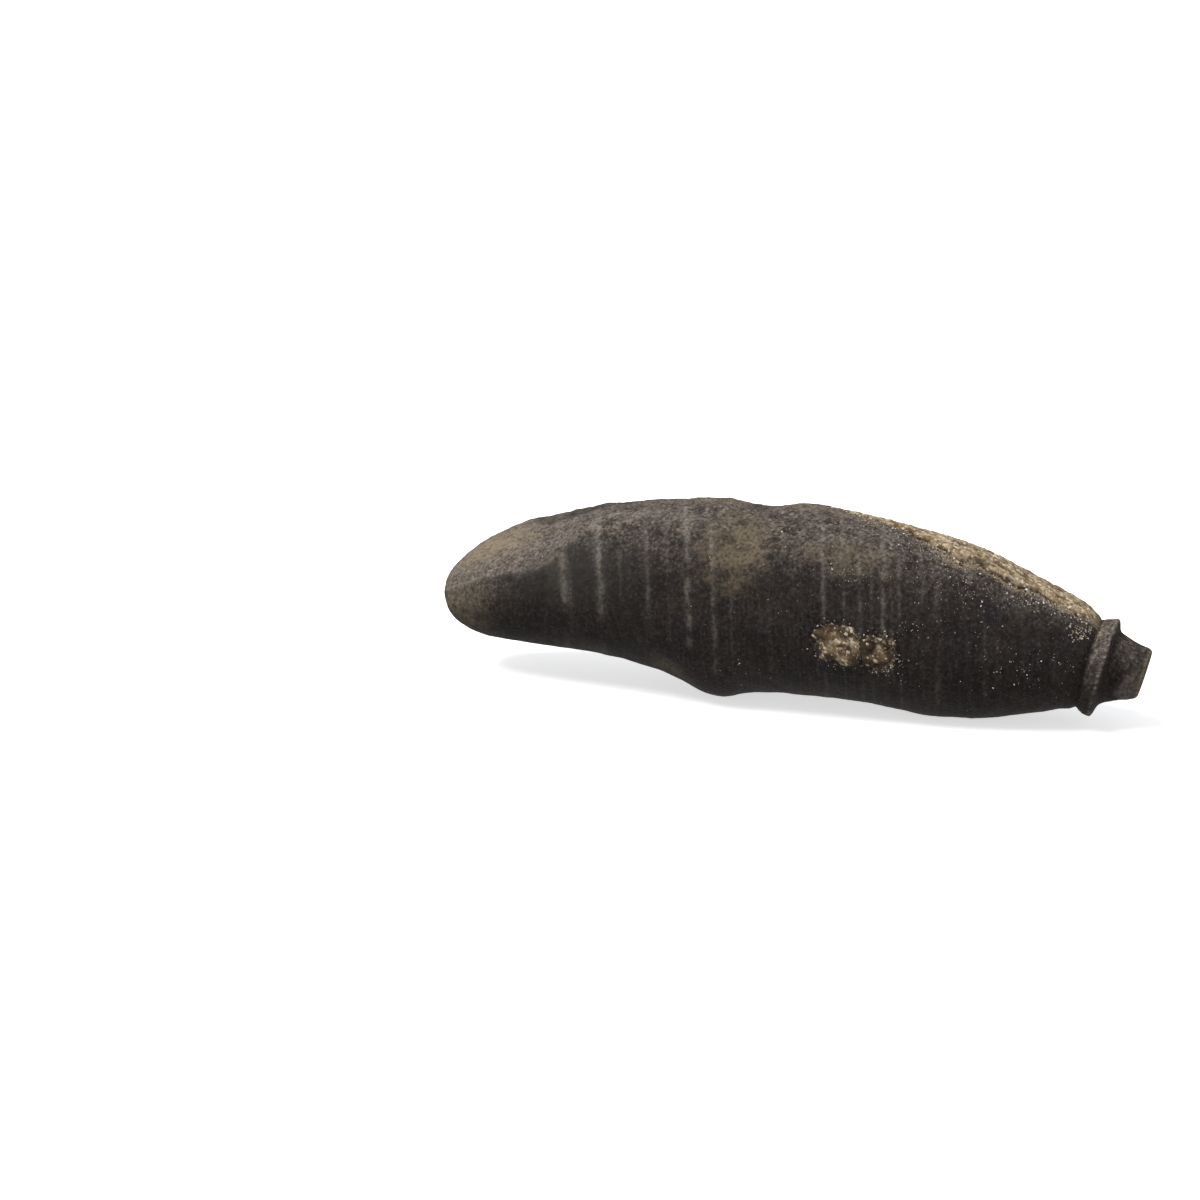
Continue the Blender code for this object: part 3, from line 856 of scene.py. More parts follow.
def sand_grain(colours):
    """Loose quartz and feldspar grains, from brown to white."""
    material, tree, shader = new_material("sand_grain")
    (tone,) = mesh_masks(tree, "tone")
    fine = cloud(tree, 12.0, 2.0, 0.5)
    body = mixed(tree, between(tree, tone, 0.25, 0.6), colours.dark_sand_and_crevice_shade, colours.sand)
    body = mixed(tree, between(tree, tone, 0.55, 0.95), body, colours.painted_glint_and_white_quartz)
    body = mixed(tree, between(tree, fine, 0.5, 0.2, 0.0, 0.4), body, colours.sand_brown)
    tree.links.new(body, shader.inputs["Base Color"])
    tree.links.new(between(tree, tone, 0.2, 0.9, 0.85, 0.45), shader.inputs["Roughness"])
    tree.links.new(bumped(tree, fine, 0.01), shader.inputs["Normal"])
    return material


def studio_floor(colours):
    """A matte white light table, with a very faint grain."""
    material, tree, shader = new_material("studio_floor")
    grain = cloud(tree, 0.6, 3.0)
    pale = mixed(tree, between(tree, grain, 0.3, 0.7), colours.floor, (0.96, 0.96, 0.96))
    tree.links.new(pale, shader.inputs["Base Color"])
    shader.inputs["Roughness"].default_value = 1.0
    shader.inputs["Specular IOR Level"].default_value = 0.0
    shader.inputs["Emission Color"].default_value = (1.0, 1.0, 1.0, 1.0)
    shader.inputs["Emission Strength"].default_value = 0.62
    return material


# --------------------------------------------------------------------------------------------
# Settings
# --------------------------------------------------------------------------------------------


def paint(name, description, default):
    """A colour setting, in linear values."""
    return FloatVectorProperty(
        name=name, description=description, default=default, subtype="COLOR", size=3, min=0.0, max=1.0
    )


def length(name, description, default):
    """A size setting, in millimetres."""
    description = f"{description}, in millimetres"
    return FloatProperty(name=name, description=description, default=default, min=0.0)


def count_setting(name, description, default, least):
    """A setting that counts something."""
    return IntProperty(name=name, description=description, default=default, min=least)


def angle_setting(name, description, default):
    """An angle setting, given in degrees."""
    return FloatProperty(
        name=name, description=description, default=math.radians(default), subtype="ANGLE"
    )


class SpineSizes(PropertyGroup):
    """Sizes of the fine relief, in millimetres, and how finely it is meshed."""

    shaft_rings: count_setting("Shaft rings", "Rings of the shaft's mesh", 378, 40)
    shaft_around: count_setting("Points around", "Points in a ring of the shaft", 262, 24)
    collar_steps: count_setting("Collar steps", "Rings between two sections", 4, 1)
    collar_around: count_setting("Collar points", "Points in a ring of the collar", 336, 48)
    collar_teeth: count_setting("Collar teeth", "Teeth of the milled collar", 48, 0)
    tooth_depth: length("Tooth depth", "Half the height of the collar's teeth", 0.055)
    skin_grit: length("Skin grit", "Height of the skin's grit", 0.035)
    pore_spacing: length("Pore spacing", "Distance between pores", 0.46)
    pore_depth: length("Pore depth", "Depth of the pores", 0.07)
    band_height: length("Band height", "How far growth bands stand out", 0.03)
    grain_spacing: length("Grain spacing", "Distance between cemented grains", 0.24)
    grain_height: length("Grain height", "Height of cemented grains", 0.10)
    crust_step: length("Crust step", "Mesh step of the crust", 0.072)
    fill_step: length("Fill step", "Mesh step of the pit fills", 0.055)


class SpineColours(PropertyGroup):
    """Colours of the spine, its matrix and the studio."""

    # Dark calcite also paints the shade in hollows, pores and grooves.
    dark_calcite: paint("Dark calcite", "The skin's dark lower zone", (0.0150, 0.0115, 0.0110))
    black_calcite: paint("Black calcite", "The darkest grit of the lower zone", (0.0070, 0.0052, 0.0050))
    brown_calcite: paint("Brown calcite", "Browner areas of the dark zone", (0.0240, 0.0185, 0.0155))
    blue_calcite: paint("Blue calcite", "Bluish areas of the dark zone", (0.0165, 0.0145, 0.0175))
    olive_calcite: paint("Olive calcite", "Olive areas of the dark zone", (0.0210, 0.0190, 0.0135))
    pale_calcite: paint("Pale calcite", "Fine stripes in the dark zone", (0.062, 0.054, 0.050))
    # This colour also paints the shade below the ridge of the tip's worn plane.
    edge_strip_and_ridge_shade_calcite: paint("Dim calcite", "The greenish dark strip along the tip", (0.030, 0.029, 0.026))
    # The worn colours are the weathered zone of the back, painted lighter there as if lit from above;
    # the pale one also paints highlights on ridges and on the collar's crest.
    worn_and_lit_dark: paint("Worn, dark", "Dark parts of the weathered zone", (0.070, 0.057, 0.050))
    worn_and_lit_calcite: paint("Worn calcite", "The weathered upper zone", (0.120, 0.099, 0.085))
    worn_and_lit_purple: paint("Worn, purple", "Purplish parts of the weathered zone", (0.098, 0.083, 0.078))
    pale_wear_and_highlight: paint("Worn, light", "Light parts of the weathered zone", (0.255, 0.220, 0.188))
    growth_band: paint("Growth band", "Pale growth bands", (0.245, 0.215, 0.186))
    olive_stain: paint("Olive stain", "Olive stains on the upper side", (0.165, 0.132, 0.084))
    tan_stain: paint("Tan stain", "Tan film of matrix", (0.250, 0.202, 0.140))
    sand: paint("Sand", "Cemented sand", (0.350, 0.272, 0.172))
    sand_light: paint("Light sand", "The lightest cemented grains", (0.60, 0.51, 0.395))
    sand_brown: paint("Brown sand", "Stained sand", (0.150, 0.103, 0.058))
    # Dark sand is the colour of dark grains and stained rims, and also paints the shade in crevices.
    dark_sand_and_crevice_shade: paint("Dark sand", "Crevices in the sand", (0.036, 0.024, 0.016))
    # This colour paints white quartz grains, and the painted glints among the skin's specks.
    painted_glint_and_white_quartz: paint("Glint", "Calcite glints and quartz", (0.66, 0.62, 0.60))
    floor: paint("Floor", "The studio floor", (0.90, 0.90, 0.90))


class StudioSettings(PropertyGroup):
    """The camera and the lights."""

    azimuth: angle_setting("Azimuth", "Camera azimuth", 17.0)
    elevation: angle_setting("Elevation", "Camera elevation", 16.5)
    distance: length("Distance", "Camera distance from the target", 260.0)
    field_width: length("Field width", "Width of the view at the target", 102.6)
    dome: FloatProperty(name="Dome", description="Strength of the light dome", default=0.54, min=0.0)
    key: FloatProperty(name="Key", description="Power of the key light, in watts", default=5.6, min=0.0)


# The place that the camera looks at.
TARGET = (-16.5, 0.0, 7.03)
SENSOR_WIDTH = 36.0
# The key light's place and size, and the floor's radius, in metres.
KEY_PLACE = (-0.24, -0.24, 0.58)
KEY_SIZE = 0.42
KEY_COLOUR = (1.0, 0.985, 0.96)
FLOOR_RADIUS = 4.0


# --------------------------------------------------------------------------------------------
# Operators
# --------------------------------------------------------------------------------------------


def ellipse_mask(
    x, angle, at_x, at_angle, half_length, half_angle, places, wander=0.35, size=1.2, soft=0.8
):
    """1 inside an uneven oval on the shaft and 0 outside."""
    far = np.hypot((x - at_x) / half_length, angle_apart(angle, at_angle) / half_angle)
    return ease((1.0 - far + wander * bumps(places, size, at_x)) / soft + 0.5)


class URCHIN_OT_shaft(Operator):
    """Builds the shaft, from its worn tip to the groove at the collar"""

    bl_idname = "urchin.shaft"
    bl_label = "Shaft"

    def execute(self, context):
        sizes = context.scene.spine_sizes
        tail = len(SHAFT_TAIL)
        rings, around = sizes.shaft_rings - tail, sizes.shaft_around
        share = np.arange(1, rings + 1) / rings
        by_root = (from_tip(SHAFT_END_X) * share) ** 2
        evenly = (SHAFT_END_X - TIP_X) * share
        weight = np.maximum(0.0, 1 - share * 4)
        places = TIP_X + weight * by_root + (1 - weight) * evenly
        angles = 360.0 * np.arange(around) / around
        x, angle = np.meshgrid(places, angles, indexing="ij")
        points, masks = shaft_surface(x, angle, sizes)
        masks.update(self.stains(x, angle, points))
        tails = [[np.full(around, v) for v in (*row, row[3])] for row in SHAFT_TAIL]
        ends = [on_section(*values, angles) for values in tails]
        points = np.concatenate([points, np.stack(ends)])
        for key, values in masks.items():
            masks[key] = np.concatenate([values, np.repeat(values[-1:], tail, axis=0)]).ravel()
        tip = [TIP_X, 0.0, SHAFT_SECTIONS[0][1]]
        end = [SHAFT_TAIL[-1][0], 0.0, SHAFT_TAIL[-1][1]]
        piece = add_piece("shaft", *closed_tube(points, masks, tip, end))
        piece.data.materials.append(fossil_skin(context.scene.spine_colours))
        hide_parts(NODE_NAME)
        return {"FINISHED"}

    def stains(self, x, angle, points):
        """Where tan, olive, sandy, pale and speckled places lie, with the painted highlight on the ridge
        of the tip's worn plane and the painted shade below it.
        """
        tan = ellipse_mask(x, angle, -25.4, 12.0, 3.6, 26.0, points, 0.40, 1.0, 1.7)
        film = ellipse_mask(x, angle, 3.4, -6.0, 5.0, 10.0, points, 0.7, 0.8)
        rear = ellipse_mask(x, angle, -14.0, -62.0, 4.0, 16.0, points, 0.8, 1.4)
        rim = ellipse_mask(x, angle, -6.0, -8.0, 6.0, 9.0, points, 0.8, 1.0)
        olive = ellipse_mask(x, angle, -3.3, 40.0, 2.4, 24.0, points, 0.55, 1.4, 1.5)
        tip_tint = ellipse_mask(x, angle, -27.6, 96.0, 2.4, 34.0, points, 0.5, 1.2, 1.8)
        seam = ellipse_mask(x, angle, -18.6, 62.0, 0.7, 14.0, points, 0.6, 0.6)
        brown = ellipse_mask(x, angle, 5.6, 40.0, 3.0, 13.0, points, 0.6)
        rust = ellipse_mask(x, angle, -8.9, 133.0, 1.2, 9.0, points, 0.6, 1.2, 1.8)
        reach = crust_reach(x, angle, points)
        sand = 0.62 * ease((reach + 9.0) / 9.0) * ease((x - 7.0) / 4.0)
        near_fill = np.zeros(x.shape)
        for row in MATRIX_PITS:
            place = (row[0] + 0.2, row[1] + 1.0, row[2] * 1.25, 15.0)
            near = ellipse_mask(x, angle, *place, points, 0.5, 0.8)
            near_fill = np.maximum(near_fill, 0.50 * near)
        # The strip along the tip's worn plane is dark, and the skin below its ridge is darkened as
        # painted shade.
        strip = ellipse_mask(x, angle, -18.6, -12.0, 3.6, 11.0, points, 0.4, 1.0)
        below = ellipse_mask(x, angle, -19.0, 66.0, 7.0, 26.0, points, 0.25, 1.6, 1.2)
        _, plane = worn_by_plane(x, angle)
        on_plane = ease((plane + 0.02 * bumps(points, 1.0, 78.0)) / 0.04 + 0.5)
        front = angle_apart(angle, 0.0)
        # The crest is a painted highlight along the ridge of the tip's worn plane.
        crest = np.exp(-((plane / 0.06) ** 2)) * ease(0.55 + 1.2 * bumps(points, 1.1, 77.0))
        crest = crest * ease((-8.0 - x) / 6.0) * ease((front - 8.0) / 8.0)
        # Where the specks show, which are partly painted glints.
        speckled = np.interp(x, (-30.0, -4.0, 4.0, 12.0, 22.0), (0.25, 0.25, 0.7, 1.0, 1.0))
        speckled = speckled * (0.25 + 0.75 * ease(bumps(points, 2.6, 40.0) * 2.0 + 0.3))
        return {
            "tan": np.maximum.reduce([tan, 0.50 * film, 0.4 * rear, 0.35 * rim]),
            "olive": np.maximum.reduce([olive, 0.7 * tip_tint, 0.6 * seam, 0.6 * brown, 0.6 * rust]),
            "sand": np.maximum(sand, near_fill),
            # light: the painted highlight on the ridge, and the tip's worn plane a little paler.
            "light": np.maximum(0.75 * crest, 0.22 * on_plane * ease((-16.0 - x) / 3.0)),
            "dim": np.maximum(0.8 * strip, 0.85 * below * (1 - on_plane)),
            "hatched": ellipse_mask(x, angle, 12.2, 36.0, 2.4, 9.0, points, 0.3),
            "ribbed": ease((x + 10.0) / 4.0) * ease((10.5 - x) / 3.0) * ease((front - 58.0) / 14.0),
            "speckled": speckled,
        }


class URCHIN_OT_collar(Operator):
    """Builds the milled collar and the base with its socket"""

    bl_idname = "urchin.collar"
    bl_label = "Collar and base"

    def execute(self, context):
        sizes = context.scene.spine_sizes
        steps, around = sizes.collar_steps, sizes.collar_around
        rows = np.array(COLLAR_SECTIONS)
        at = np.arange((len(rows) - 1) * steps + 1) / steps
        knots = [(float(i), *row) for i, row in enumerate(rows.tolist())]
        x, height, lean, radius = (smooth_between(knots, c, at, lambda v: v) for c in (1, 2, 3, 4))
        angles = 360.0 * np.arange(around) / around
        ring_x, angle = np.meshgrid(x, angles, indexing="ij")
        size = np.repeat(radius[:, None], around, axis=1)
        outer = (at < self.row_at(rows, BASE_END_X))[:, None]
        smooth = on_section(ring_x, height[:, None], lean[:, None], size, size, angle)
        on_ring = ease((ring_x - 25.42) / 0.25) * ease((26.78 - ring_x) / 0.16) * outer
        turn = np.radians(angle * sizes.collar_teeth)
        worn = 0.75 + 0.5 * bumps(smooth, 0.9, 4.0)
        on_crest = np.exp(-(((ring_x - CREST_X) / 0.20) ** 2)) * outer
        share = np.maximum(0.30 * on_ring, on_crest)
        tooth = sizes.tooth_depth * np.cos(turn + 0.5 * bumps(smooth, 1.3, 9.0)) * share * worn
        grit = 0.03 * rough(smooth, 0.5, 4, 2.0) + 0.035 * bumps(smooth, 1.6)
        chips = -0.10 * ease(bumps(smooth, 0.7, 17.0) * 4.0 - 1.3) * on_ring
        size = size + (tooth + grit + chips) * ease(size / 1.0)
        points = on_section(ring_x, height[:, None], lean[:, None], size, size, angle)
        # from_top paints the collar and the base lighter towards the top, as painted light from above.
        from_top = np.cos(np.radians(angle - 8.0))
        groove = ease((0.2 - np.abs(ring_x - 25.34)) / 0.12)
        groove = groove + 0.5 * ease((0.25 - np.abs(ring_x - 26.98)) / 0.2)
        row, everywhere = at[:, None], np.ones(angle.shape)
        masks = {
            # upper: the ring's worn colour, and the top painted lighter as if lit from above.
            "upper": np.clip(0.16 * on_ring + (0.5 + 0.4 * on_ring) * from_top, 0, 1) * outer,
            # light: a painted highlight on the crest and its beads, and the worn patch.
            "light": self.pale(ring_x, angle, points, outer, sizes.collar_teeth),
            "olive": 0.8 * ease((row - 15.5) / 2.0) * everywhere,
            "tan": 0.62 * ease((row - 15.35) / 0.5) * ease((19.5 - row) / 2.0) * everywhere,
            "speckled": 0.5 + 0.5 * on_ring,
            # The grooves of the collar and the socket of the base are darkened as painted shade.
            "deep": groove * outer + 0.6 * ease((row - 18.6) / 1.5),
            # The gaps between the teeth are darkened as painted shade.
            "pore": ease(-tooth / sizes.tooth_depth * 1.6 - 0.5) * 0.5,
            "sand": 0.5 * ellipse_mask(ring_x, angle, 25.5, 26.0, 0.5, 26.0, points, 0.6, 0.5) * outer,
        }
        for key, values in masks.items():
            masks[key] = np.clip(np.broadcast_to(values, angle.shape), 0, 1).ravel()
        start = [COLLAR_START_X, 0.0, rows[0][1]]
        end = [rows[-1][0], 0.0, rows[-1][1]]
        piece = add_piece("collar_and_base", *closed_tube(points, masks, start, end))
        piece.data.materials.append(bpy.data.materials["fossil_skin"])
        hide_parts(NODE_NAME)
        return {"FINISHED"}

    def row_at(self, rows, x):
        """Just past the number of the first section that lies at x or beyond it."""
        return int(np.argmax(rows[:, 0] >= x)) + 0.01

    def pale(self, x, angle, points, outer, teeth):
        """A painted highlight on the collar's crest and its beads, and the worn patch low on the base.
        """
        crest = np.exp(-(((x - CREST_X) / 0.16) ** 2)) * outer
        beads = ease(1.6 * np.cos(np.radians(angle * teeth)) - 0.4)
        beads = beads * ease(0.9 + 1.5 * bumps(points, 1.4, 6.0))
        patch = ellipse_mask(x, angle, 29.2, 112.0, 0.9, 34.0, points, 0.5, 0.8)
        return np.clip(crest * (0.22 + 0.78 * beads) + 0.45 * patch, 0, 1)


class URCHIN_OT_crust(Operator):
    """Builds the sandy crust along the back of the shaft"""

    bl_idname = "urchin.crust"
    bl_label = "Sandy crust"

    def execute(self, context):
        sizes = context.scene.spine_sizes
        step = sizes.crust_step
        x = np.arange(2.2, SHAFT_END_X, step)
        angles = np.arange(-84.0, 56.0, math.degrees(step / 7.2))
        x, angle = np.meshgrid(x, angles, indexing="ij")
        half_height = section(x)[2]
        smooth = lifted(x, angle, 0.0)
        arc = np.radians(angle) * half_height
        low = low_relief(x, angle, half_height, smooth)
        reach = np.radians(crust_reach(x, angle, smooth)) * half_height
        share = ease(np.degrees(reach / half_height) / CRUST_EDGE_SLOPE)
        thickness = straight_between(CRUST_EDGES, 3, x)
        lumps = bumps(smooth, CRUST_LUMP_SIZE)
        grains, tone = packed_grains(x, arc, sizes.grain_spacing, 23)
        small, small_tone = packed_grains(x, arc, sizes.grain_spacing * 0.55, 24)
        ragged = reach + 0.45 * bumps(smooth, 0.6, 14.0) + 0.25 * bumps(smooth, 0.25, 15.0)
        # The crust is torn near its ends and edge, so that dark skin shows between islands of sand.
        torn = 1.3 * ease((0.9 - reach) / 1.6) + 0.9 * ease((9.0 - x) / 5.0)
        ragged -= torn * ease(bumps(smooth, 1.1, 16.0) * 2.0 + 0.35)
        crack = np.abs(self.crack_at(x) - angle + 5.0 * bumps(smooth, 1.6, 27.0))
        crack = (1 - ease(crack / 2.0)) * ease((x - 14.0) / 1.5) * ease((20.8 - x) / 1.5)
        # Uneven layers run along the crust.
        layers = bumps(smooth * np.array([0.28, 1.0, 1.0]), 0.42, 61.0)
        held = ease(ragged / 0.30 + 0.4)
        raised = low + share * (thickness + CRUST_LUMP_HEIGHT * lumps)
        raised += held * sizes.grain_height * (0.75 * grains + 0.35 * small - 0.35)
        raised += 0.06 * layers * held
        raised += 0.035 * rough(smooth, 0.35, 3, 18.0) - 0.22 * crack - 0.34 * (1 - held)
        fade = ease((SHAFT_END_X - x) / COLLAR_FADE_LENGTH)
        raised = raised * (0.3 + 0.7 * fade)
        points = lifted(x, angle, raised)
        below = lifted(x, angle, low - SHEET_DEPTH)
        corner = np.stack([ragged[:-1, :-1], ragged[1:, :-1], ragged[:-1, 1:], ragged[1:, 1:]])
        kept = corner.max(axis=0) > -0.16
        solid, quads, used = sheet_body(points, kept, below)
        tones = np.where(small > grains * 1.1, small_tone, tone)
        # Low places between grains, the crack and the low layers are darkened as painted shade.
        crevice = ease((0.36 - np.maximum(grains, small * 0.8)) / 0.3) + 0.9 * crack
        crevice = np.clip(crevice + 0.7 * ease((-layers - 0.25) / 0.2), 0, 1)
        inner = 1.15 - 0.5 * ease((x - 19.0) / 5.0) + 0.5 * bumps(smooth, 1.2, 28.0)
        brown = np.clip(ease((inner - reach) / 1.1) * (0.85 + 0.5 * bumps(smooth, 0.5, 29.0)), 0, 1)
        masks = {"tone": tones, "crevice": crevice, "brown": brown}
        masks = {key: np.tile(values.ravel()[used], 2) for key, values in masks.items()}
        piece = add_piece("sandy_crust", solid, quads, masks=masks)
        piece.data.materials.append(sandy_matrix(context.scene.spine_colours))
        return {"FINISHED"}

    def crack_at(self, x):
        """The angle at which the crack through the crust runs."""
        return np.interp(x, (14.0, 16.5, 18.5, 21.0), (10.0, 6.0, 9.0, 4.0))


class URCHIN_OT_fills(Operator):
    """Builds the sandy matrix that fills the pits in the shaft"""

    bl_idname = "urchin.fills"
    bl_label = "Matrix in the pits"

    def execute(self, context):
        sizes = context.scene.spine_sizes
        step = sizes.fill_step
        material = bpy.data.materials["sandy_matrix"]
        for number, row in enumerate(MATRIX_PITS, start=1):
            at_x, at_angle, half_length, half_width, depth, fill, darkness = row
            x = np.arange(at_x - half_length * 1.6, at_x + half_length * 1.6, step)
            radius = float(section(np.array([at_x]))[2][0])
            spread = math.degrees(half_width * 1.6 / radius)
            angles = np.arange(at_angle - spread, at_angle + spread, math.degrees(step / radius))
            x, angle = np.meshgrid(x, angles, indexing="ij")
            half_height = section(x)[2]
            smooth = lifted(x, angle, 0.0)
            arc = np.radians(angle) * half_height
            low = low_relief(x, angle, half_height, smooth)
            reach = matrix_reach(row, x, angle, half_height, smooth)
            inside = reach + 0.22 * bumps(smooth, 0.4, 33.0)
            grains, tone = packed_grains(x, arc, sizes.grain_spacing * 1.05, 60 + number)
            small, small_tone = packed_grains(x, arc, sizes.grain_spacing * 0.5, 70 + number)
            lumps = bumps(smooth, MATRIX_LUMP_SIZE)
            clods = bumps(smooth, 0.9, 50.0 + number)
            holes = ease(bumps(smooth, 0.5, 44.0 + number) * 3.2 - 1.05 + 0.5 * darkness)
            held = ease(inside / 0.55 + 0.2)
            rise = fill * (0.5 + 0.8 * clods) - 0.2 * depth + depth * MATRIX_LUMP_SHARE * lumps * 0.5
            rise += sizes.grain_height * (0.9 * grains + 0.35 * small - 0.5) - 0.17 * holes
            raised = low + held * rise - 0.07 * (1 - held)
            points = lifted(x, angle, raised)
            below = lifted(x, angle, low - depth - SHEET_DEPTH)
            corner = np.stack([inside[:-1, :-1], inside[1:, :-1], inside[:-1, 1:], inside[1:, 1:]])
            solid, quads, used = sheet_body(points, corner.max(axis=0) > -0.12, below)
            # Low places between grains and the holes are darkened as painted shade.
            crevice = ease((0.40 - np.maximum(grains, small * 0.8)) / 0.3)
            stain = darkness * (0.55 + 0.6 * lumps)
            masks = {
                "tone": np.where(small > grains * 1.15, small_tone, tone),
                "crevice": np.clip(crevice + holes, 0, 1),
                "brown": np.clip(stain + 0.44 + 0.8 * clods - 0.4 * (inside - 0.6), 0, 1),
            }
            masks = {key: np.tile(values.ravel()[used], 2) for key, values in masks.items()}
            piece = add_piece(f"matrix_fill_{number}", solid, quads, masks=masks)
            piece.data.materials.append(material)
        return {"FINISHED"}


class URCHIN_OT_grains(Operator):
    """Scatters loose sand grains on the skin, around the matrix and in clusters"""

    bl_idname = "urchin.grains"
    bl_label = "Sand grains"

    def execute(self, context):
        sizes = context.scene.spine_sizes
        rng = np.random.default_rng(7)
        x, angle, size, tone = self.places(rng)
        point, normal = skin_at(x, angle, sizes)
        ball, triangles = self.ball()
        count, corners = len(x), len(ball)
        shape = ball[None] * (1 + 0.45 * (rng.random((count, corners, 1)) - 0.5))
        shape = shape * (0.65 + 0.6 * rng.random((count, 1, 3)))
        turned = np.einsum("nij,nkj->nki", self.turns(rng, count), shape)
        lift = (normal * size[:, None] * 0.35)[:, None]
        grains = point[:, None] + size[:, None, None] * turned + lift
        grains[..., 2] = np.maximum(grains[..., 2], 0.0)
        faces = (triangles[None] + (np.arange(count) * corners)[:, None, None]).reshape(-1, 3)
        masks = {"tone": np.repeat(tone, corners)}
        piece = add_piece("sand_grains", grains.reshape(-1, 3), [], faces, masks, smooth=False)
        piece.data.materials.append(sand_grain(context.scene.spine_colours))
        return {"FINISHED"}

    def places(self, rng):
        """Places, sizes and tones of the grains."""
        parts = []
        for at_x, at_angle, spread, spread_angle, count, size, tone in GRAIN_CLUSTERS:
            x = at_x + spread * rng.normal(size=count)
            angle = at_angle + spread_angle * rng.normal(size=count)
            sizes = size * GRAIN_RADIUS_SHARE * np.exp(GRAIN_SIZE_SPREAD * rng.normal(size=count))
            tones = np.clip(tone + 0.25 * rng.normal(size=count), 0, 1)
            parts.append((x, angle, sizes, tones))
        # Along the crust's edge the grains lie thickest, and thin out away from it.
        count = CRUST_EDGE_GRAINS
        x = rng.uniform(4.0, 24.9, count)
        front = rng.random(count) < 0.6
        edge = np.where(front, straight_between(CRUST_EDGES, 1, x), straight_between(CRUST_EDGES, 2, x))
        away = rng.exponential(6.0, count) - 5.0
        angle = edge + np.where(front, away, -away)
        parts.append((x, angle, *self.loose(rng, count)))
        for row in MATRIX_PITS:
            count = FILL_EDGE_GRAINS
            turn = rng.uniform(0, 2 * np.pi, count)
            far = 1.05 + np.abs(rng.normal(size=count)) * 0.22
            x = row[0] + row[2] * far * np.cos(turn)
            angle = row[1] + 12.5 * far * np.sin(turn)
            parts.append((x, angle, *self.loose(rng, count)))
        x, angle, size, tone = (np.concatenate(column) for column in zip(*parts))
        kept = (x > TIP_X + 2.0) & (x < SHAFT_END_X)
        return x[kept], angle[kept], size[kept], tone[kept]

    def loose(self, rng, count):
        """Sizes and tones of loose grains."""
        size = LOOSE_GRAIN_RADIUS * np.exp(GRAIN_SIZE_SPREAD * rng.normal(size=count))
        return size, rng.beta(2.0, 1.8, count)

    def ball(self):
        """The corners and faces of a ball of 20 triangles, radius 1."""
        mesh = bmesh.new()
        bmesh.ops.create_icosphere(mesh, subdivisions=1, radius=1.0)
        corners = np.array([v.co[:] for v in mesh.verts])
        triangles = np.array([[v.index for v in f.verts] for f in mesh.faces])
        mesh.free()
        return corners, triangles

    def turns(self, rng, count):
        """Random rotations."""
        q = rng.normal(size=(count, 4))
        w, x, y, z = (q / np.linalg.norm(q, axis=1, keepdims=True)).T
        rows = [
            [1 - 2 * (y * y + z * z), 2 * (x * y - z * w), 2 * (x * z + y * w)],
            [2 * (x * y + z * w), 1 - 2 * (x * x + z * z), 2 * (y * z - x * w)],
            [2 * (x * z - y * w), 2 * (y * z + x * w), 1 - 2 * (x * x + y * y)],
        ]
        return np.moveaxis(np.array(rows), -1, 0)


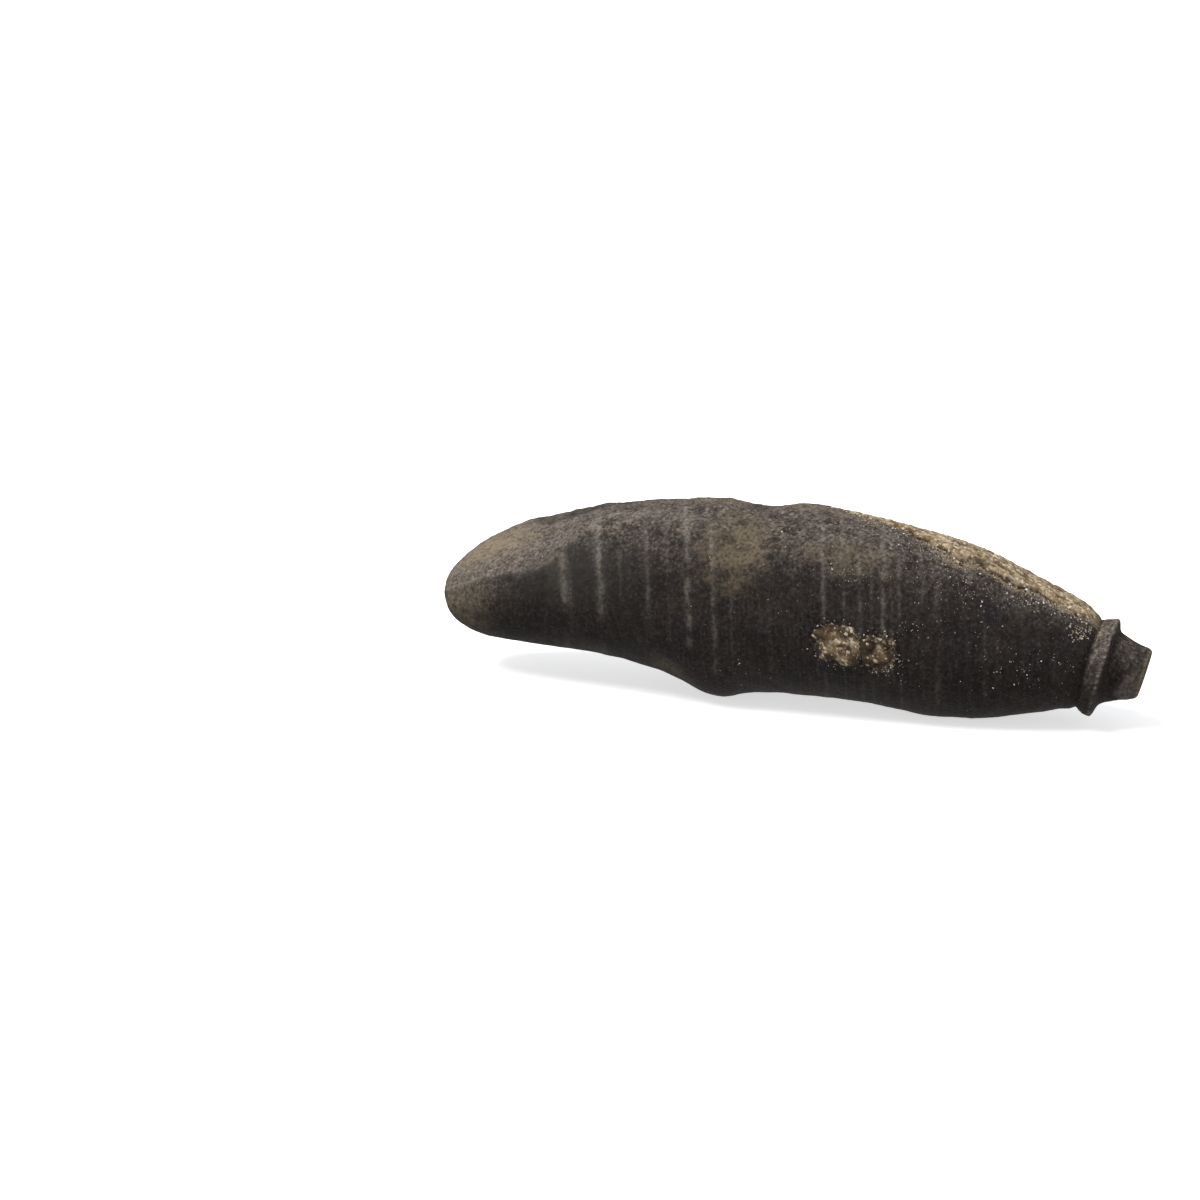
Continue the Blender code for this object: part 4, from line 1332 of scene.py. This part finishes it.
class URCHIN_OT_stage(Operator):
    """Builds the pale floor, the soft lights and the camera"""

    bl_idname = "urchin.stage"
    bl_label = "Stage"

    def execute(self, context):
        scene = context.scene
        studio = scene.spine_studio
        bpy.ops.mesh.primitive_circle_add(vertices=96, radius=FLOOR_RADIUS, fill_type="NGON")
        floor = context.object
        floor.name = "floor"
        floor.data.materials.append(studio_floor(scene.spine_colours))
        floor.visible_diffuse = False
        floor.visible_glossy = False
        self.add_dome(scene, studio.dome)
        self.add_light(scene, "key", KEY_PLACE, KEY_SIZE, studio.key, KEY_COLOUR)
        self.add_camera(scene, studio)
        scene.view_settings.view_transform = "Standard"
        return {"FINISHED"}

    def add_dome(self, scene, strength):
        """A white sky, over the light that the table throws up."""
        world = bpy.data.worlds.new("light_dome")
        scene.world = world
        world.use_nodes = True
        tree = world.node_tree
        background = tree.nodes["Background"]
        direction = wire(tree, "ShaderNodeTexCoord").outputs["Generated"]
        up = wire(tree, "ShaderNodeSeparateXYZ", {0: direction}).outputs[2]
        sky = mixed(tree, between(tree, up, -0.2, 0.2), (1.25, 1.235, 1.22), (0.84, 0.86, 0.89))
        tree.links.new(sky, background.inputs["Color"])
        background.inputs["Strength"].default_value = strength

    def add_light(self, scene, name, place, size, power, colour):
        """A large soft light aimed at the spine."""
        data = bpy.data.lights.new(name, "AREA")
        data.shape = "DISK"
        data.size = size
        data.energy = power
        data.color = colour
        light = bpy.data.objects.new(name, data)
        light.location = place
        light.rotation_euler = (-Vector(place)).to_track_quat("-Z", "Y").to_euler()
        scene.collection.objects.link(light)

    def add_camera(self, scene, studio):
        """The camera at the specimen's viewing angle."""
        data = bpy.data.cameras.new("camera")
        data.sensor_width = SENSOR_WIDTH
        data.lens = SENSOR_WIDTH * studio.distance / studio.field_width
        data.clip_start, data.clip_end = 0.01, 20.0
        camera = bpy.data.objects.new("camera", data)
        a, e = studio.azimuth, studio.elevation
        back = Vector((math.sin(a) * math.cos(e), -math.cos(a) * math.cos(e), math.sin(e)))
        camera.location = (Vector(TARGET) + back * studio.distance) * MM
        camera.rotation_euler = (-back).to_track_quat("-Z", "Y").to_euler()
        scene.collection.objects.link(camera)
        scene.camera = camera


class URCHIN_PT_panel(Panel):
    """Lists the pieces of the spine and their settings"""

    bl_idname = "URCHIN_PT_panel"
    bl_label = "Urchin Spine"
    bl_space_type = "VIEW_3D"
    bl_region_type = "UI"
    bl_category = "Urchin Spine"

    def draw(self, context):
        for operator in OPERATORS:
            self.layout.operator(operator.bl_idname)
        scene = context.scene
        for group in (scene.spine_sizes, scene.spine_colours, scene.spine_studio):
            box = self.layout.box()
            for key in group.bl_rna.properties.keys():
                if key not in {"rna_type", "name"}:
                    box.prop(group, key)


OPERATORS = (
    URCHIN_OT_shaft,
    URCHIN_OT_collar,
    URCHIN_OT_crust,
    URCHIN_OT_fills,
    URCHIN_OT_grains,
    URCHIN_OT_stage,
)
CLASSES = (SpineSizes, SpineColours, StudioSettings, *OPERATORS, URCHIN_PT_panel)


def register():
    for item in CLASSES:
        bpy.utils.register_class(item)
    bpy.types.Scene.spine_sizes = PointerProperty(type=SpineSizes)
    bpy.types.Scene.spine_colours = PointerProperty(type=SpineColours)
    bpy.types.Scene.spine_studio = PointerProperty(type=StudioSettings)


def unregister():
    del bpy.types.Scene.spine_studio
    del bpy.types.Scene.spine_colours
    del bpy.types.Scene.spine_sizes
    for item in reversed(CLASSES):
        bpy.utils.unregister_class(item)


def main():
    register()
    bpy.ops.urchin.shaft()
    bpy.ops.urchin.collar()
    bpy.ops.urchin.crust()
    bpy.ops.urchin.fills()
    bpy.ops.urchin.grains()
    bpy.ops.urchin.stage()


if __name__ == "__main__":
    main()
